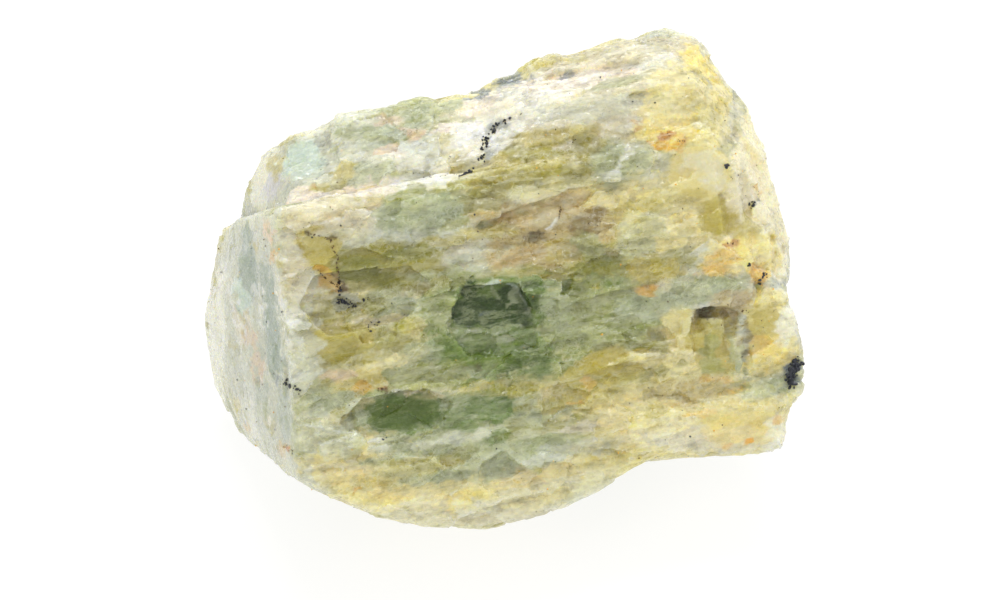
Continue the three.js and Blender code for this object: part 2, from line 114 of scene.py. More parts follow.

# Patches of colour by part of the stone, in the order in which they are laid. Each is an oval that goes
# through the stone: (colour, middle x, middle y, half length, half height, rise in degrees, strength,
# raggedness). Its place and size are in pixels of the photograph's frame.
# The rim and glow patches below are painted glow along thin edges; umber in the pit, its notch and along
# cracks is partly painted shade.
ZONES = {
    "left end": (
        ("mist", 250, 330, 62, 150, 5, 0.9, 0.4), ("painted_rim_glow", 214, 360, 16, 110, -8, 0.9, 0.3),
        ("painted_rim_glow", 232, 440, 40, 50, -45, 0.6, 0.5), ("cream", 242, 318, 18, 20, 0, 0.9, 0.3),
        ("mist", 236, 380, 22, 50, 0, 0.7, 0.4), ("aqua", 246, 258, 20, 42, 18, 0.95, 0.4),
        ("aqua", 268, 290, 10, 32, 14, 0.9, 0.5), ("aqua", 272, 342, 16, 36, 0, 1.0, 0.4),
        ("mint", 240, 296, 8, 22, 30, 0.9, 0.5), ("painted_rim_glow", 228, 280, 4, 34, 10, 0.7, 0.3),
        ("peach", 266, 228, 8, 15, 35, 0.8, 0.4), ("peach", 248, 338, 18, 7, 35, 0.6, 0.5),
        ("peach", 262, 372, 4, 14, -10, 0.7, 0.4), ("peach", 256, 352, 3, 22, -4, 0.6, 0.3),
        ("khaki", 280, 268, 3, 26, 14, 0.6, 0.3), ("khaki", 256, 246, 3, 10, 30, 0.7, 0.3),
        ("ochre", 272, 258, 3, 6, 0, 0.6, 0.4), ("cream", 292, 256, 7, 50, 4, 0.85, 0.4),
        ("white", 294, 345, 7, 40, 4, 0.7, 0.5), ("aqua", 285, 415, 10, 28, 5, 0.6, 0.4),
        ("white", 251, 402, 6, 3, 0, 0.8, 0.5), ("white", 270, 421, 5, 3, 0, 0.8, 0.5),
        ("haze", 262, 410, 10, 10, 30, 0.6, 0.6), ("khaki", 268, 425, 4, 10, 10, 0.4, 0.5),
        ("ochre", 258, 330, 3, 3, 0, 0.4, 0.4), ("white", 284, 300, 2, 60, 3, 0.7, 0.6),
        ("white", 260, 306, 2, 30, 16, 0.6, 0.6), ("painted_rim_glow", 218, 330, 9, 70, -4, 0.9, 0.6),
        ("white", 240, 330, 2, 44, 8, 0.6, 0.7), ("cream", 222, 400, 8, 30, -20, 0.6, 0.8),
        ("khaki", 234, 344, 4, 10, 20, 0.5, 0.8), ("aqua", 262, 392, 8, 14, 10, 0.5, 0.6),
        ("aqua", 276, 352, 11, 26, 0, 0.8, 0.6), ("straw", 236, 408, 6, 16, -25, 0.5, 0.8),
    ),
    "slab behind the seam": (
        ("mist", 345, 152, 95, 32, 8, 0.9, 0.4), ("painted_rim_glow", 262, 178, 20, 34, -8, 0.9, 0.3),
        ("lavender", 272, 186, 14, 12, 10, 0.6, 0.6), ("painted_rim_glow", 355, 113, 26, 9, 4, 0.5, 0.6),
        ("mint", 302, 160, 20, 21, 0, 0.9, 0.4), ("sage", 350, 131, 40, 5, 0, 0.6, 0.4),
        ("painted_rim_glow", 318, 131, 18, 8, 0, 0.7, 0.4), ("haze", 395, 134, 40, 12, 6, 0.7, 0.5),
        ("haze", 430, 112, 40, 8, 14, 0.8, 0.4), ("peach", 412, 131, 13, 6, 0, 0.8, 0.5),
        ("peach", 388, 120, 13, 5, 0, 0.6, 0.5), ("peach", 390, 153, 16, 6, 4, 0.6, 0.6),
        ("pink", 452, 128, 18, 7, 20, 0.9, 0.5), ("khaki", 346, 172, 18, 6, 8, 0.75, 0.5),
        ("khaki", 333, 185, 26, 4, 16, 0.6, 0.5), ("haze", 372, 172, 20, 8, 4, 0.7, 0.5),
        ("khaki", 277, 168, 5, 14, 0, 0.6, 0.5), ("white", 428, 156, 34, 19, 16, 0.4, 0.8),
        ("white", 466, 128, 14, 8, 20, 0.85, 0.5), ("pink", 350, 193, 62, 8, 11, 0.95, 0.4),
        ("butter", 350, 192, 18, 2, 6, 0.4, 0.5), ("pink", 300, 196, 16, 9, 20, 0.9, 0.4),
        ("white", 420, 180, 42, 6, 6, 0.7, 0.5), ("khaki", 462, 158, 6, 16, -30, 0.5, 0.6),
    ),
    "top": (
        ("cream", 600, 100, 120, 60, 12, 0.95, 0.4), ("haze", 620, 74, 60, 12, 12, 0.3, 0.5),
        ("white", 520, 105, 50, 28, 20, 0.6, 0.5), ("pink", 580, 78, 70, 11, 10, 0.8, 0.4),
        ("cream", 650, 50, 60, 16, 6, 0.9, 0.3), ("white", 655, 62, 22, 9, 10, 0.4, 0.5),
        ("sage", 618, 82, 22, 4, 12, 0.6, 0.4), ("mist", 590, 108, 70, 10, 6, 0.6, 0.5),
        ("straw", 690, 110, 50, 44, -40, 0.9, 0.5), ("khaki", 704, 106, 20, 9, -35, 0.55, 0.6),
        ("butter", 702, 66, 24, 10, -45, 0.9, 0.5), ("butter", 722, 96, 10, 24, 20, 0.6, 0.5),
        ("butter", 660, 136, 36, 13, 0, 0.9, 0.5), ("white", 480, 140, 28, 30, 40, 0.75, 0.5),
        ("pink", 480, 104, 20, 12, 25, 0.7, 0.5),
    ),
    "right shoulder": (
        # The glow and rim patches here paint the light coming through the thin right shoulder.
        ("glow", 756, 180, 30, 96, -12, 0.95, 0.3), ("cream", 742, 200, 10, 40, -6, 0.6, 0.5),
        ("straw", 700, 172, 33, 27, -10, 0.95, 0.15), ("painted_rim_glow", 702, 172, 26, 22, -10, 0.5, 0.3),
        ("glow", 772, 236, 24, 46, 0, 0.9, 0.4), ("butter", 772, 252, 10, 22, 10, 0.7, 0.5),
        ("painted_rim_glow", 782, 300, 10, 20, 0, 0.6, 0.4),
    ),
    "upper front": (
        ("cream", 345, 212, 52, 18, 6, 0.95, 0.4), ("haze", 425, 212, 52, 24, 4, 0.95, 0.4),
        ("sage", 410, 205, 26, 10, 2, 0.5, 0.5), ("olive", 480, 200, 26, 14, -10, 0.7, 0.6),
        ("khaki", 520, 168, 60, 18, 6, 0.8, 0.6), ("khaki", 560, 138, 50, 9, 4, 0.7, 0.5),
        ("olive", 540, 152, 34, 9, 0, 0.8, 0.8), ("olive", 592, 154, 24, 17, -40, 0.8, 0.7),
        ("olive", 548, 178, 46, 12, 4, 0.75, 0.7), ("olive", 500, 180, 22, 12, 0, 0.6, 0.6),
        ("haze", 620, 166, 26, 26, 45, 0.85, 0.5), ("white", 622, 160, 20, 6, 55, 0.6, 0.5),
        ("straw", 660, 212, 62, 42, 8, 0.9, 0.5), ("khaki", 632, 212, 34, 13, 10, 0.6, 0.6),
        ("haze", 640, 240, 30, 22, 60, 0.5, 0.6), ("khaki", 680, 200, 30, 8, 10, 0.5, 0.6),
        ("khaki", 717, 214, 15, 17, -10, 0.9, 0.4), ("khaki", 725, 226, 11, 13, 20, 0.8, 0.4),
        ("khaki", 747, 228, 12, 16, 0, 0.7, 0.3), ("butter", 728, 256, 30, 18, 30, 0.8, 0.7),
        ("ochre", 720, 264, 26, 9, 30, 0.5, 0.9),
    ),
    "middle of the front": (
        ("taupe", 548, 232, 66, 32, 2, 0.9, 0.8), ("mauve", 560, 206, 26, 9, 10, 0.6, 0.9),
        ("mauve", 505, 220, 34, 9, -8, 0.7, 0.9), ("umber", 522, 234, 22, 8, -8, 0.35, 0.8),
        ("umber", 588, 220, 20, 8, 20, 0.4, 0.8), ("mauve", 530, 256, 40, 11, 6, 0.7, 0.6),
        ("khaki", 562, 248, 12, 16, -20, 0.6, 0.5), ("sage", 588, 244, 18, 14, -40, 0.7, 0.4),
        ("white", 555, 222, 7, 10, -20, 0.85, 0.4), ("moss", 600, 268, 30, 11, -4, 0.9, 0.6),
        ("khaki", 655, 268, 30, 14, 0, 0.85, 0.5), ("khaki", 470, 236, 50, 7, 8, 0.7, 0.6),
        ("olive", 455, 226, 20, 5, 10, 0.5, 0.6),
    ),
    "olive facets": (
        ("cream", 296, 260, 16, 48, 4, 0.8, 0.4), ("khaki", 318, 250, 22, 22, -10, 0.9, 0.7),
        ("khaki", 326, 266, 15, 22, 20, 0.9, 0.4), ("ochre", 330, 284, 18, 8, -35, 0.5, 0.5),
        ("olive", 388, 266, 58, 28, 2, 0.95, 0.6), ("moss", 360, 270, 26, 14, -4, 0.8, 0.7),
        ("olive", 424, 270, 22, 14, 4, 0.7, 0.4), ("moss", 408, 254, 28, 9, 6, 0.7, 0.8),
        ("moss", 388, 280, 14, 7, 10, 0.7, 0.4), ("haze", 392, 292, 26, 6, 12, 0.5, 0.7),
        ("haze", 424, 276, 22, 5, 12, 0.6, 0.6), ("cream", 300, 296, 18, 16, 0, 0.5, 0.8),
        ("haze", 395, 305, 36, 12, 0, 0.85, 0.6), ("olive", 350, 308, 40, 11, 6, 0.7, 0.8),
        ("olive", 318, 318, 18, 8, 0, 0.7, 0.5),
    ),
    "dark window": (
        ("leaf", 500, 326, 76, 54, 4, 0.95, 0.4), ("forest", 470, 288, 11, 12, 0, 1.0, 0.4),
        ("forest", 480, 312, 30, 18, 4, 1.0, 0.5), ("forest", 514, 308, 20, 20, 0, 1.0, 0.5),
        ("leaf", 533, 287, 12, 11, 0, 0.9, 0.6), ("forest", 481, 352, 20, 8, 8, 0.4, 0.9),
        ("forest", 524, 360, 22, 9, 10, 0.55, 1.0), ("haze", 500, 338, 20, 4, -8, 0.55, 1.0),
        ("haze", 470, 334, 14, 3, 20, 0.5, 1.0), ("forest", 455, 356, 10, 5, 0, 0.4, 1.0),
        ("haze", 488, 284, 11, 4, 20, 0.7, 1.0), ("haze", 497, 291, 7, 3, -35, 0.6, 1.0),
        ("slate", 486, 313, 9, 3, 15, 0.5, 1.0), ("haze", 516, 292, 4, 9, -30, 0.6, 1.0),
        ("haze", 509, 303, 7, 2, 40, 0.6, 1.0), ("haze", 527, 312, 3, 8, -25, 0.5, 1.0),
        ("haze", 512, 328, 14, 3, 4, 0.6, 1.0), ("mint", 494, 283, 9, 4, 10, 0.55, 1.0),
        ("mint", 513, 285, 5, 4, 0, 0.5, 1.0), ("forest", 527, 286, 6, 5, 0, 0.8, 0.9),
        ("sage", 462, 276, 22, 5, 6, 0.8, 0.8), ("sage", 440, 315, 12, 22, 10, 0.8, 0.6),
        ("leaf", 450, 352, 22, 13, 4, 0.8, 0.4), ("sage", 600, 318, 60, 38, 8, 0.95, 0.4),
        ("haze", 556, 306, 18, 24, 20, 0.7, 0.6), ("leaf", 585, 284, 34, 6, 6, 0.6, 0.7),
        ("sage", 622, 322, 34, 14, 4, 0.8, 0.4), ("leaf", 560, 368, 26, 10, 14, 0.6, 0.7),
        ("moss", 618, 348, 34, 6, 4, 0.7, 0.6), ("moss", 656, 345, 18, 9, 0, 0.7, 0.5),
        ("khaki", 606, 362, 24, 14, 14, 0.9, 0.25), ("haze", 655, 305, 44, 16, 0, 0.85, 0.4),
        ("straw", 684, 332, 22, 26, 0, 0.8, 0.4),
    ),
    "lower left of the front": (
        ("khaki", 340, 345, 46, 24, 6, 0.9, 0.7), ("olive", 346, 336, 26, 10, 12, 0.4, 0.5),
        ("moss", 392, 340, 20, 16, -30, 0.7, 0.6), ("haze", 424, 352, 22, 9, 6, 0.7, 0.5),
        ("sage", 425, 376, 44, 16, 4, 0.85, 0.5), ("khaki", 345, 384, 36, 16, 4, 0.8, 0.5),
        ("olive", 352, 357, 42, 13, 6, 0.65, 0.8), ("peach", 346, 378, 22, 4, 6, 0.7, 0.5),
        ("ochre", 362, 388, 10, 6, 20, 0.5, 0.6), ("mist", 306, 360, 16, 60, 0, 0.7, 0.5),
        ("haze", 326, 424, 36, 40, -8, 0.8, 0.5), ("painted_rim_glow", 326, 434, 30, 24, -20, 0.4, 0.8),
        ("leaf", 382, 398, 22, 7, -10, 0.7, 0.3), ("khaki", 340, 415, 10, 10, 0, 0.4, 0.5),
    ),
    "low streaks": (
        ("haze", 480, 440, 110, 44, 10, 0.9, 0.5), ("leaf", 470, 402, 74, 10, 10, 0.65, 1.0),
        ("khaki", 560, 388, 80, 10, 8, 0.5, 0.8), ("leaf", 496, 410, 32, 12, 4, 0.95, 0.5),
        ("leaf", 496, 437, 12, 7, 0, 0.8, 0.9), ("moss", 513, 428, 12, 8, 10, 0.6, 0.9),
        ("olive", 574, 422, 40, 7, 14, 0.7, 0.8), ("khaki", 575, 402, 52, 9, 8, 0.6, 0.6),
        ("leaf", 456, 420, 24, 12, 10, 0.8, 0.8), ("moss", 452, 456, 16, 7, 10, 0.7, 0.7),
        ("moss", 470, 446, 10, 5, 20, 0.5, 0.7), ("sage", 556, 440, 44, 9, 14, 0.6, 0.6),
        ("white", 440, 442, 50, 3, 14, 0.3, 0.9), ("pink", 600, 424, 50, 6, 12, 0.5, 0.8),
        ("mist", 570, 452, 54, 10, 14, 0.6, 0.6), ("khaki", 420, 466, 44, 10, 6, 0.5, 0.7),
        ("mauve", 520, 480, 22, 11, 12, 0.5, 0.4), ("straw", 562, 470, 30, 9, 14, 0.7, 0.5),
        ("straw", 450, 500, 120, 16, 2, 0.75, 0.5), ("straw", 350, 480, 50, 16, -25, 0.7, 0.5),
        ("butter", 470, 500, 34, 7, 4, 0.6, 0.6), ("cream", 470, 518, 100, 9, 2, 0.7, 0.4),
        ("painted_rim_glow", 460, 508, 110, 10, 2, 0.35, 0.8), ("khaki", 382, 482, 18, 5, 6, 0.5, 0.6),
        ("mist", 384, 444, 13, 9, 0, 0.8, 0.3), ("mist", 520, 494, 70, 8, 14, 0.4, 0.6),
        ("leaf", 399, 414, 40, 18, 3, 0.9, 0.4), ("forest", 398, 413, 36, 16, 3, 0.45, 0.7),
        ("haze", 361, 416, 4, 10, -10, 0.8, 0.4),
    ),
    "lower right, lobe, pit and shelf": (
        ("straw", 700, 420, 100, 46, 2, 0.9, 0.4), ("taupe", 690, 392, 44, 12, 4, 0.5, 0.6),
        ("cream", 720, 440, 70, 14, 0, 0.8, 0.4), ("painted_rim_glow", 700, 436, 80, 14, 0, 0.4, 0.8),
        ("butter", 742, 430, 40, 14, 0, 0.5, 0.5), ("khaki", 656, 410, 10, 6, 0, 0.6, 0.5),
        ("ochre", 700, 414, 20, 5, 8, 0.35, 0.6), ("haze", 770, 390, 26, 10, 14, 0.7, 0.5),
        ("straw", 770, 332, 28, 46, 0, 0.9, 0.4), ("khaki", 766, 332, 20, 30, 0, 0.75, 0.8),
        ("butter", 774, 346, 12, 16, 0, 0.8, 0.8), ("ochre", 760, 345, 8, 14, 10, 0.35, 0.9),
        ("painted_rim_glow", 790, 318, 12, 34, -22, 0.8, 0.4), ("haze", 706, 290, 40, 12, 2, 0.8, 0.5),
        ("mauve", 730, 300, 24, 10, 0, 0.7, 0.5), ("taupe", 724, 316, 22, 10, 0, 0.8, 0.9),
        ("khaki", 718, 346, 26, 32, 0, 0.8, 0.3), ("sage", 712, 356, 8, 20, 0, 0.6, 0.4),
        # The umber patches on this line and the next are painted shade: the dark top of the pit's hollow and
        # the notch beside it.
        ("haze", 736, 352, 8, 18, 10, 0.7, 0.3), ("umber", 704, 314, 9, 8, 0, 0.9, 0.9),
        ("umber", 746, 334, 4, 22, 0, 0.5, 0.5), ("ochre", 712, 381, 24, 3, 4, 0.5, 0.6),
        ("butter", 757, 258, 18, 26, 10, 0.7, 0.4), ("ochre", 762, 276, 9, 14, 20, 0.8, 0.9),
        ("painted_rim_glow", 776, 436, 14, 20, 0, 0.7, 0.4),
    ),
    "iron stains and dark cracks": (
        ("rust", 669, 134, 7, 4, -10, 0.8, 0.9), ("rust", 684, 140, 5, 3, 0, 0.85, 0.8),
        ("rust", 634, 131, 4, 2, 0, 0.6, 0.9), ("ochre", 650, 144, 12, 4, -8, 0.8, 0.9),
        ("ochre", 668, 144, 14, 5, 0, 0.8, 0.9), ("ochre", 640, 118, 8, 4, 0, 0.4, 0.9),
        ("ochre", 757, 192, 6, 4, -50, 0.6, 0.8), ("rust", 733, 244, 7, 3, 15, 0.7, 0.7),
        ("ochre", 647, 289, 10, 4, -5, 0.8, 0.7), ("ochre", 752, 443, 4, 3, -10, 0.95, 0.3),
        ("ochre", 730, 445, 3, 2, 0, 0.5, 0.4), ("ochre", 780, 419, 3, 2, 0, 0.5, 0.4),
        ("rust", 378, 388, 5, 3, 0, 0.6, 0.6), ("rust", 288, 447, 7, 3, -45, 0.85, 0.5),
        ("ochre", 283, 449, 8, 8, 0, 0.4, 0.6), ("ochre", 358, 492, 2, 4, 0, 0.7, 0.4),
        ("ochre", 247, 427, 4, 5, 0, 0.4, 0.5), ("rust", 317, 188, 4, 2, 0, 0.4, 0.7),
        ("ochre", 574, 404, 8, 2, 0, 0.5, 0.7), ("ochre", 590, 380, 6, 3, 0, 0.5, 0.7),
        # The umber lines from here on draw dark cracks, partly brown filling and partly painted shade.
        ("umber", 312, 233, 9, 1.3, -18, 0.8, 0.4), ("umber", 329, 238, 6, 1.2, -10, 0.8, 0.4),
        ("umber", 337, 250, 1.2, 11, 0, 0.8, 0.4), ("umber", 327, 277, 13, 1.4, -48, 0.8, 0.4),
        ("umber", 339, 287, 1.6, 6, 0, 0.8, 0.4), ("ochre", 322, 270, 12, 5, -45, 0.5, 0.7),
        ("umber", 535, 236, 6, 2, 0, 0.5, 0.8), ("umber", 596, 228, 8, 2, 20, 0.5, 0.9),
        ("umber", 385, 392, 9, 2, -20, 0.85, 0.6), ("umber", 481, 368, 5, 2, -20, 0.5, 0.8),
    ),
    "grey-blue smears": (
        ("slate", 755, 205, 6, 3, -10, 0.7, 0.7), ("slate", 782, 284, 4, 7, 10, 0.5, 0.6),
        ("slate", 482, 151, 4, 6, 10, 0.6, 0.7), ("slate", 500, 124, 11, 5, 0, 0.6, 0.8),
        ("slate", 491, 135, 4, 3, 40, 0.7, 0.7), ("slate", 472, 97, 20, 6, 22, 0.9, 0.7),
        ("slate", 514, 80, 20, 6, 8, 0.9, 0.7), ("slate", 562, 76, 8, 4, 20, 0.7, 0.7),
        ("slate", 337, 368, 5, 2, -20, 0.6, 0.6), ("slate", 282, 383, 5, 5, 0, 0.6, 0.8),
        ("slate", 792, 374, 7, 12, -15, 0.9, 0.6), ("slate", 345, 302, 9, 5, 0, 0.5, 0.9),
    ),
}

# The power that shapes every oval: 2 would be a plain one, more makes it squarer.
SQUARE = 2.6

# Places where the stone is smooth and clear, as ovals with the same fields as above but no colour.
SMOOTH_PLACES = (
    (252, 262, 22, 42, 25, 1.0, 0.2), (272, 285, 10, 34, 12, 0.9, 0.2), (274, 345, 13, 34, 0, 0.9, 0.2),
    (214, 360, 16, 110, -8, 0.7, 0.2), (300, 160, 20, 20, 0, 0.6, 0.2), (700, 172, 31, 26, -10, 1.0, 0.1),
    (720, 216, 17, 20, -10, 0.9, 0.1), (747, 228, 12, 14, 0, 0.8, 0.2), (752, 180, 22, 80, -12, 0.6, 0.2),
    (488, 302, 38, 29, 0, 0.7, 0.2), (404, 412, 38, 19, 2, 0.8, 0.1), (322, 258, 23, 31, -10, 0.7, 0.2),
    (368, 270, 30, 20, -4, 0.6, 0.2), (764, 330, 18, 26, 0, 0.8, 0.2), (716, 352, 20, 22, 0, 0.8, 0.2),
    (740, 430, 50, 20, 0, 0.6, 0.2), (340, 342, 38, 16, 10, 0.7, 0.2), (606, 362, 22, 12, 14, 0.6, 0.2),
    (470, 350, 40, 16, 4, 0.5, 0.2), (598, 268, 22, 8, -4, 0.6, 0.2), (684, 330, 20, 24, 0, 0.6, 0.2),
)

# Grains that stand on the stone, in trails through places of the photograph's frame (px): (kind,
# number of grains, size in mm, how far they stray in px, the places that the trail joins).
TRAILS = (
    ("ink", 6, 0.32, 2, ((725, 166), (730, 167))), ("umber", 3, 0.13, 2, ((730, 176), (734, 179))),
    ("ink", 2, 0.12, 2, ((651, 154), (655, 153))), ("ink", 2, 0.13, 1, ((654, 102), (655, 103))),
    ("ink", 10, 0.22, 3, ((750, 204), (758, 206))), ("umber", 6, 0.11, 3, ((754, 188), (760, 198))),
    ("ink", 4, 0.26, 1, ((748, 262), (749, 266))), ("ink", 10, 0.24, 3, ((765, 271), (759, 286))),
    ("ink", 12, 0.3, 2, ((459, 177), (472, 171))), ("ink", 9, 0.26, 3, ((477, 162), (486, 156))),
    ("ink", 16, 0.26, 4, ((482, 150), (486, 138))), ("ink", 22, 0.24, 5, ((488, 133), (508, 120))),
    ("ink", 2, 0.14, 1, ((519, 115), (522, 114))), ("ink", 22, 0.1, 3, ((396, 172), (470, 178))),
    ("ink", 60, 0.42, 7, ((797, 360), (794, 372), (788, 386))),
    ("ink", 26, 0.24, 4, ((336, 301), (354, 304))), ("ink", 7, 0.2, 2, ((362, 299), (370, 298))),
    ("ink", 9, 0.22, 3, ((370, 334), (368, 325), (379, 321))),
    ("ink", 12, 0.28, 3, ((286, 382), (298, 391))), ("ink", 5, 0.11, 3, ((279, 381), (285, 386))),
    ("umber", 8, 0.13, 2, ((378, 388), (393, 394))), ("ink", 2, 0.14, 1, ((497, 448), (497, 451))),
    ("ink", 2, 0.1, 1, ((648, 388), (650, 388))), ("ink", 3, 0.12, 2, ((329, 208), (333, 209))),
    ("umber", 2, 0.11, 1, ((308, 222), (309, 223))), ("umber", 2, 0.11, 1, ((450, 156), (451, 157))),
    ("umber", 5, 0.14, 2, ((742, 311), (750, 313))), ("umber", 2, 0.13, 1, ((727, 305), (728, 306))),
    # The umber trails on this and the next lines draw the dark lines of cracks, partly brown filling and
    # partly painted shade.
    ("umber", 64, 0.13, 1, (
        (305, 232), (319, 236), (331, 240), (333, 249), (338, 257), (336, 266), (340, 276), (338, 286),
    )),
    ("umber", 26, 0.15, 1, ((318, 270), (326, 279), (340, 288))),
    ("ink", 12, 0.22, 2, ((339, 280), (340, 296))), ("umber", 14, 0.14, 1, ((561, 208), (558, 222))),
    ("umber", 9, 0.1, 2, ((686, 139), (678, 142))), ("umber", 8, 0.1, 2, ((664, 130), (674, 137))),
    ("umber", 7, 0.12, 2, ((727, 246), (740, 242))), ("umber", 10, 0.1, 3, ((498, 240), (530, 236))),
    ("umber", 8, 0.1, 3, ((585, 226), (604, 222))), ("ink", 4, 0.12, 2, ((380, 440), (392, 436))),
    ("umber", 7, 0.12, 3, ((284, 445), (293, 451))),
)
# Loose grains all round the stone: how many of each kind, their least and greatest size in mm.
STRAY_GRAINS = (("ink", 110, 0.07, 0.17), ("umber", 120, 0.06, 0.15), ("ochre", 60, 0.08, 0.18))


def linear(colour):
    """A colour as seen, turned into the linear light that the renderer adds up."""
    c = np.asarray(colour, float)
    return np.where(c <= 0.04045, c / 12.92, ((c + 0.055) / 1.055) ** 2.4)


# Repeatable noise: the same place always gets the same value. These numbers only mix the bits well.
HASH_AXES = (0x8DA6B343, 0xD8163841, 0xCB1AB31F)
HASH_SALT = 0x9E3779B9
HASH_ROUNDS = ((15, 0x2C1B3C6D), (12, 0x297A2D39))
HASH_LAST_SHIFT = 15
HASH_RANGE = 2**32
# Brings the smooth noise to about -1 to 1.
NOISE_GAIN = 1.6


def hashed(cell, salt):
    """Numbers from 0 to 1, always the same for the same whole-number cells and salt."""
    x, y, z = (cell[..., i].astype(np.int64).astype(np.uint32) for i in range(3))
    a, b, c = (np.uint32(factor) for factor in HASH_AXES)
    h = x * a ^ y * b ^ z * c
    h = h ^ np.uint32((salt * HASH_SALT) % HASH_RANGE)
    for shift, factor in HASH_ROUNDS:
        h = (h ^ (h >> np.uint32(shift))) * np.uint32(factor)
    return (h ^ (h >> np.uint32(HASH_LAST_SHIFT))).astype(float) / HASH_RANGE


def noise(points, salt):
    """Smooth noise of about -1 to 1 whose bumps are one unit across."""
    base = np.floor(points)
    part = points - base
    fade = part * part * part * (part * (part * 6 - 15) + 10)
    total = np.zeros(len(points))
    for dx in (0, 1):
        for dy in (0, 1):
            for dz in (0, 1):
                corner = np.array([dx, dy, dz])
                pull = np.stack([hashed(base + corner, salt + k) for k in range(3)], -1) * 2 - 1
                share = np.prod(np.where(corner, fade, 1 - fade), -1)
                total += share * np.sum(pull * (part - corner), -1)
    return total * NOISE_GAIN


def fractal(points, octaves, salt, gain=0.5):
    """Noise with finer and finer noise added to it."""
    total, size, reach = np.zeros(len(points)), 1.0, 0.0
    for octave in range(octaves):
        total += noise(points / size, salt + 7 * octave) * gain**octave
        reach += gain**octave
        size *= 0.5
    return total / reach


def cells(points, salt):
    """For each point, the way from the middle of its cell, and three numbers from 0 to 1 of that cell."""
    base = np.floor(points)
    best = np.full(len(points), np.inf)
    away = np.zeros_like(points)
    own = np.zeros_like(points)
    for dx in (-1, 0, 1):
        for dy in (-1, 0, 1):
            for dz in (-1, 0, 1):
                cell = base + (dx, dy, dz)
                step = points - cell - np.stack([hashed(cell, salt + k) for k in range(3)], -1)
                far = np.sum(step * step, -1)
                near = far < best
                best[near], away[near], own[near] = far[near], step[near], cell[near]
    return away, np.stack([hashed(own, salt + 3 + k) for k in range(3)], -1)


def smoothstep(low, high, x):
    t = np.clip((x - low) / (high - low), 0, 1)
    return t * t * (3 - 2 * t)


def camera_axes(elevation):
    """The camera's right, up and backward directions at azimuth 0."""
    e = math.radians(elevation)
    back = np.array([0.0, -math.cos(e), math.sin(e)])
    right = np.array([1.0, 0.0, 0.0])
    return right, np.cross(back, right), back


class PhotoFrame:
    """Turns places in the photograph's frame into places on the stone, and back."""

    def __init__(self, studio, tree):
        self.right, self.up, self.back = camera_axes(studio.elevation)
        self.eye = AIM_MM + self.back * studio.distance / MM
        self.focal = studio.lens / SENSOR_MM * FRAME_PX[0]
        self.tree = tree

    def project(self, points):
        """Columns of x and y in pixels and of the distance from the camera, for points in mm."""
        away = points - self.eye
        depth = -(away @ self.back)
        x = FRAME_PX[0] / 2 + self.focal * (away @ self.right) / depth
        y = FRAME_PX[1] / 2 - self.focal * (away @ self.up) / depth
        return np.stack([x, y, depth], -1)

    def spot(self, x, y):
        """The place on the stone at a pixel, and the way out there; beside the stone, the nearest place."""
        right, up = x - FRAME_PX[0] / 2, FRAME_PX[1] / 2 - y
        ray = self.right * right + self.up * up - self.back * self.focal
        ray /= np.linalg.norm(ray)
        place, normal = self.tree.ray_cast(Vector(self.eye), Vector(ray))[:2]
        if place is None:
            reach = float((AIM_MM - self.eye) @ ray)
            place, normal = self.tree.find_nearest(Vector(self.eye + ray * reach))[:2]
        return np.array(place), np.array(normal)

    def depth(self, x, y):
        return float(-((self.spot(x, y)[0] - self.eye) @ self.back))

    def px_per_mm(self):
        return self.focal / (np.linalg.norm(AIM_MM - self.eye))


class StoneColours(bpy.types.PropertyGroup):
    """The colours of the stone's zones, veins, stains and grains"""

    __annotations__ = {
        name: FloatVectorProperty(
            name=name.capitalize(),
            description=words,
            default=value,
            size=3,
            min=0.0,
            max=1.0,
            subtype="COLOR_GAMMA",
        )
        for name, (value, words) in PALETTE.items()
    }


def length_setting(name, description, default):
    return FloatProperty(name=name, description=description, default=default, min=0.0, unit="LENGTH")


def light_setting(name, description, default):
    return FloatProperty(name=name, description=description, default=default, min=0.0, unit="POWER")


class StoneShape(bpy.types.PropertyGroup):
    """The sizes of the stone's relief"""

    grid: length_setting("Grid", "Spacing of the surface mesh", 0.00020)
    lumps: length_setting("Lumps", "Height of the broad swells", 0.00018)
    ledges: length_setting("Ledges", "Height of the cleavage steps", 0.00013)
    facet_length: length_setting("Facet length", "Length of the larger cleavage facets", 0.0042)
    facet_width: length_setting("Facet width", "Width of the larger cleavage facets", 0.0022)
    facet_height: length_setting("Facet height", "How far the larger facets tilt and step", 0.00022)
    chip_length: length_setting("Chip length", "Length of the small cleavage facets", 0.0014)
    chip_width: length_setting("Chip width", "Width of the small cleavage facets", 0.00085)
    chip_height: length_setting("Chip height", "How far the small facets tilt and step", 0.00009)
    grain: length_setting("Grain", "Height of the finest roughness", 0.00004)
    seed: IntProperty(name="Seed", description="Which of the possible stones is grown", default=11, min=0)


class StudioSettings(bpy.types.PropertyGroup):
    """The camera, the table and the lights"""

    elevation: FloatProperty(
        name="Elevation", description="Camera height in degrees", default=40.0, min=0.0, max=90.0
    )
    distance: length_setting("Distance", "Camera distance from its aim", 0.2416)
    lens: FloatProperty(name="Lens", description="Focal length in millimetres", default=100.0, min=10.0)
    table: FloatVectorProperty(
        name="Table", description="The table's colour", default=(0.99, 0.99, 0.985), subtype="COLOR_GAMMA"
    )
    glow: FloatProperty(name="Table glow", description="Light that the table gives", default=0.86, min=0.0)
    key: light_setting("Key light", "Power of the large light above", 1.25)
    fill: light_setting("Fill light", "Power of the front light", 0.56)
    side: light_setting("Side light", "Power of the light at the right", 0.42)
    room: FloatProperty(name="Room light", description="Brightness of the white room", default=0.70, min=0.0)


def node_mesh_mm():
    """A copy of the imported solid's mesh, in millimetres."""
    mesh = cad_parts[NODE].data.copy()
    co = np.zeros(len(mesh.vertices) * 3, np.float32)
    mesh.vertices.foreach_get("co", co)
    mesh.vertices.foreach_set("co", co / MM)
    mesh.update()
    return mesh


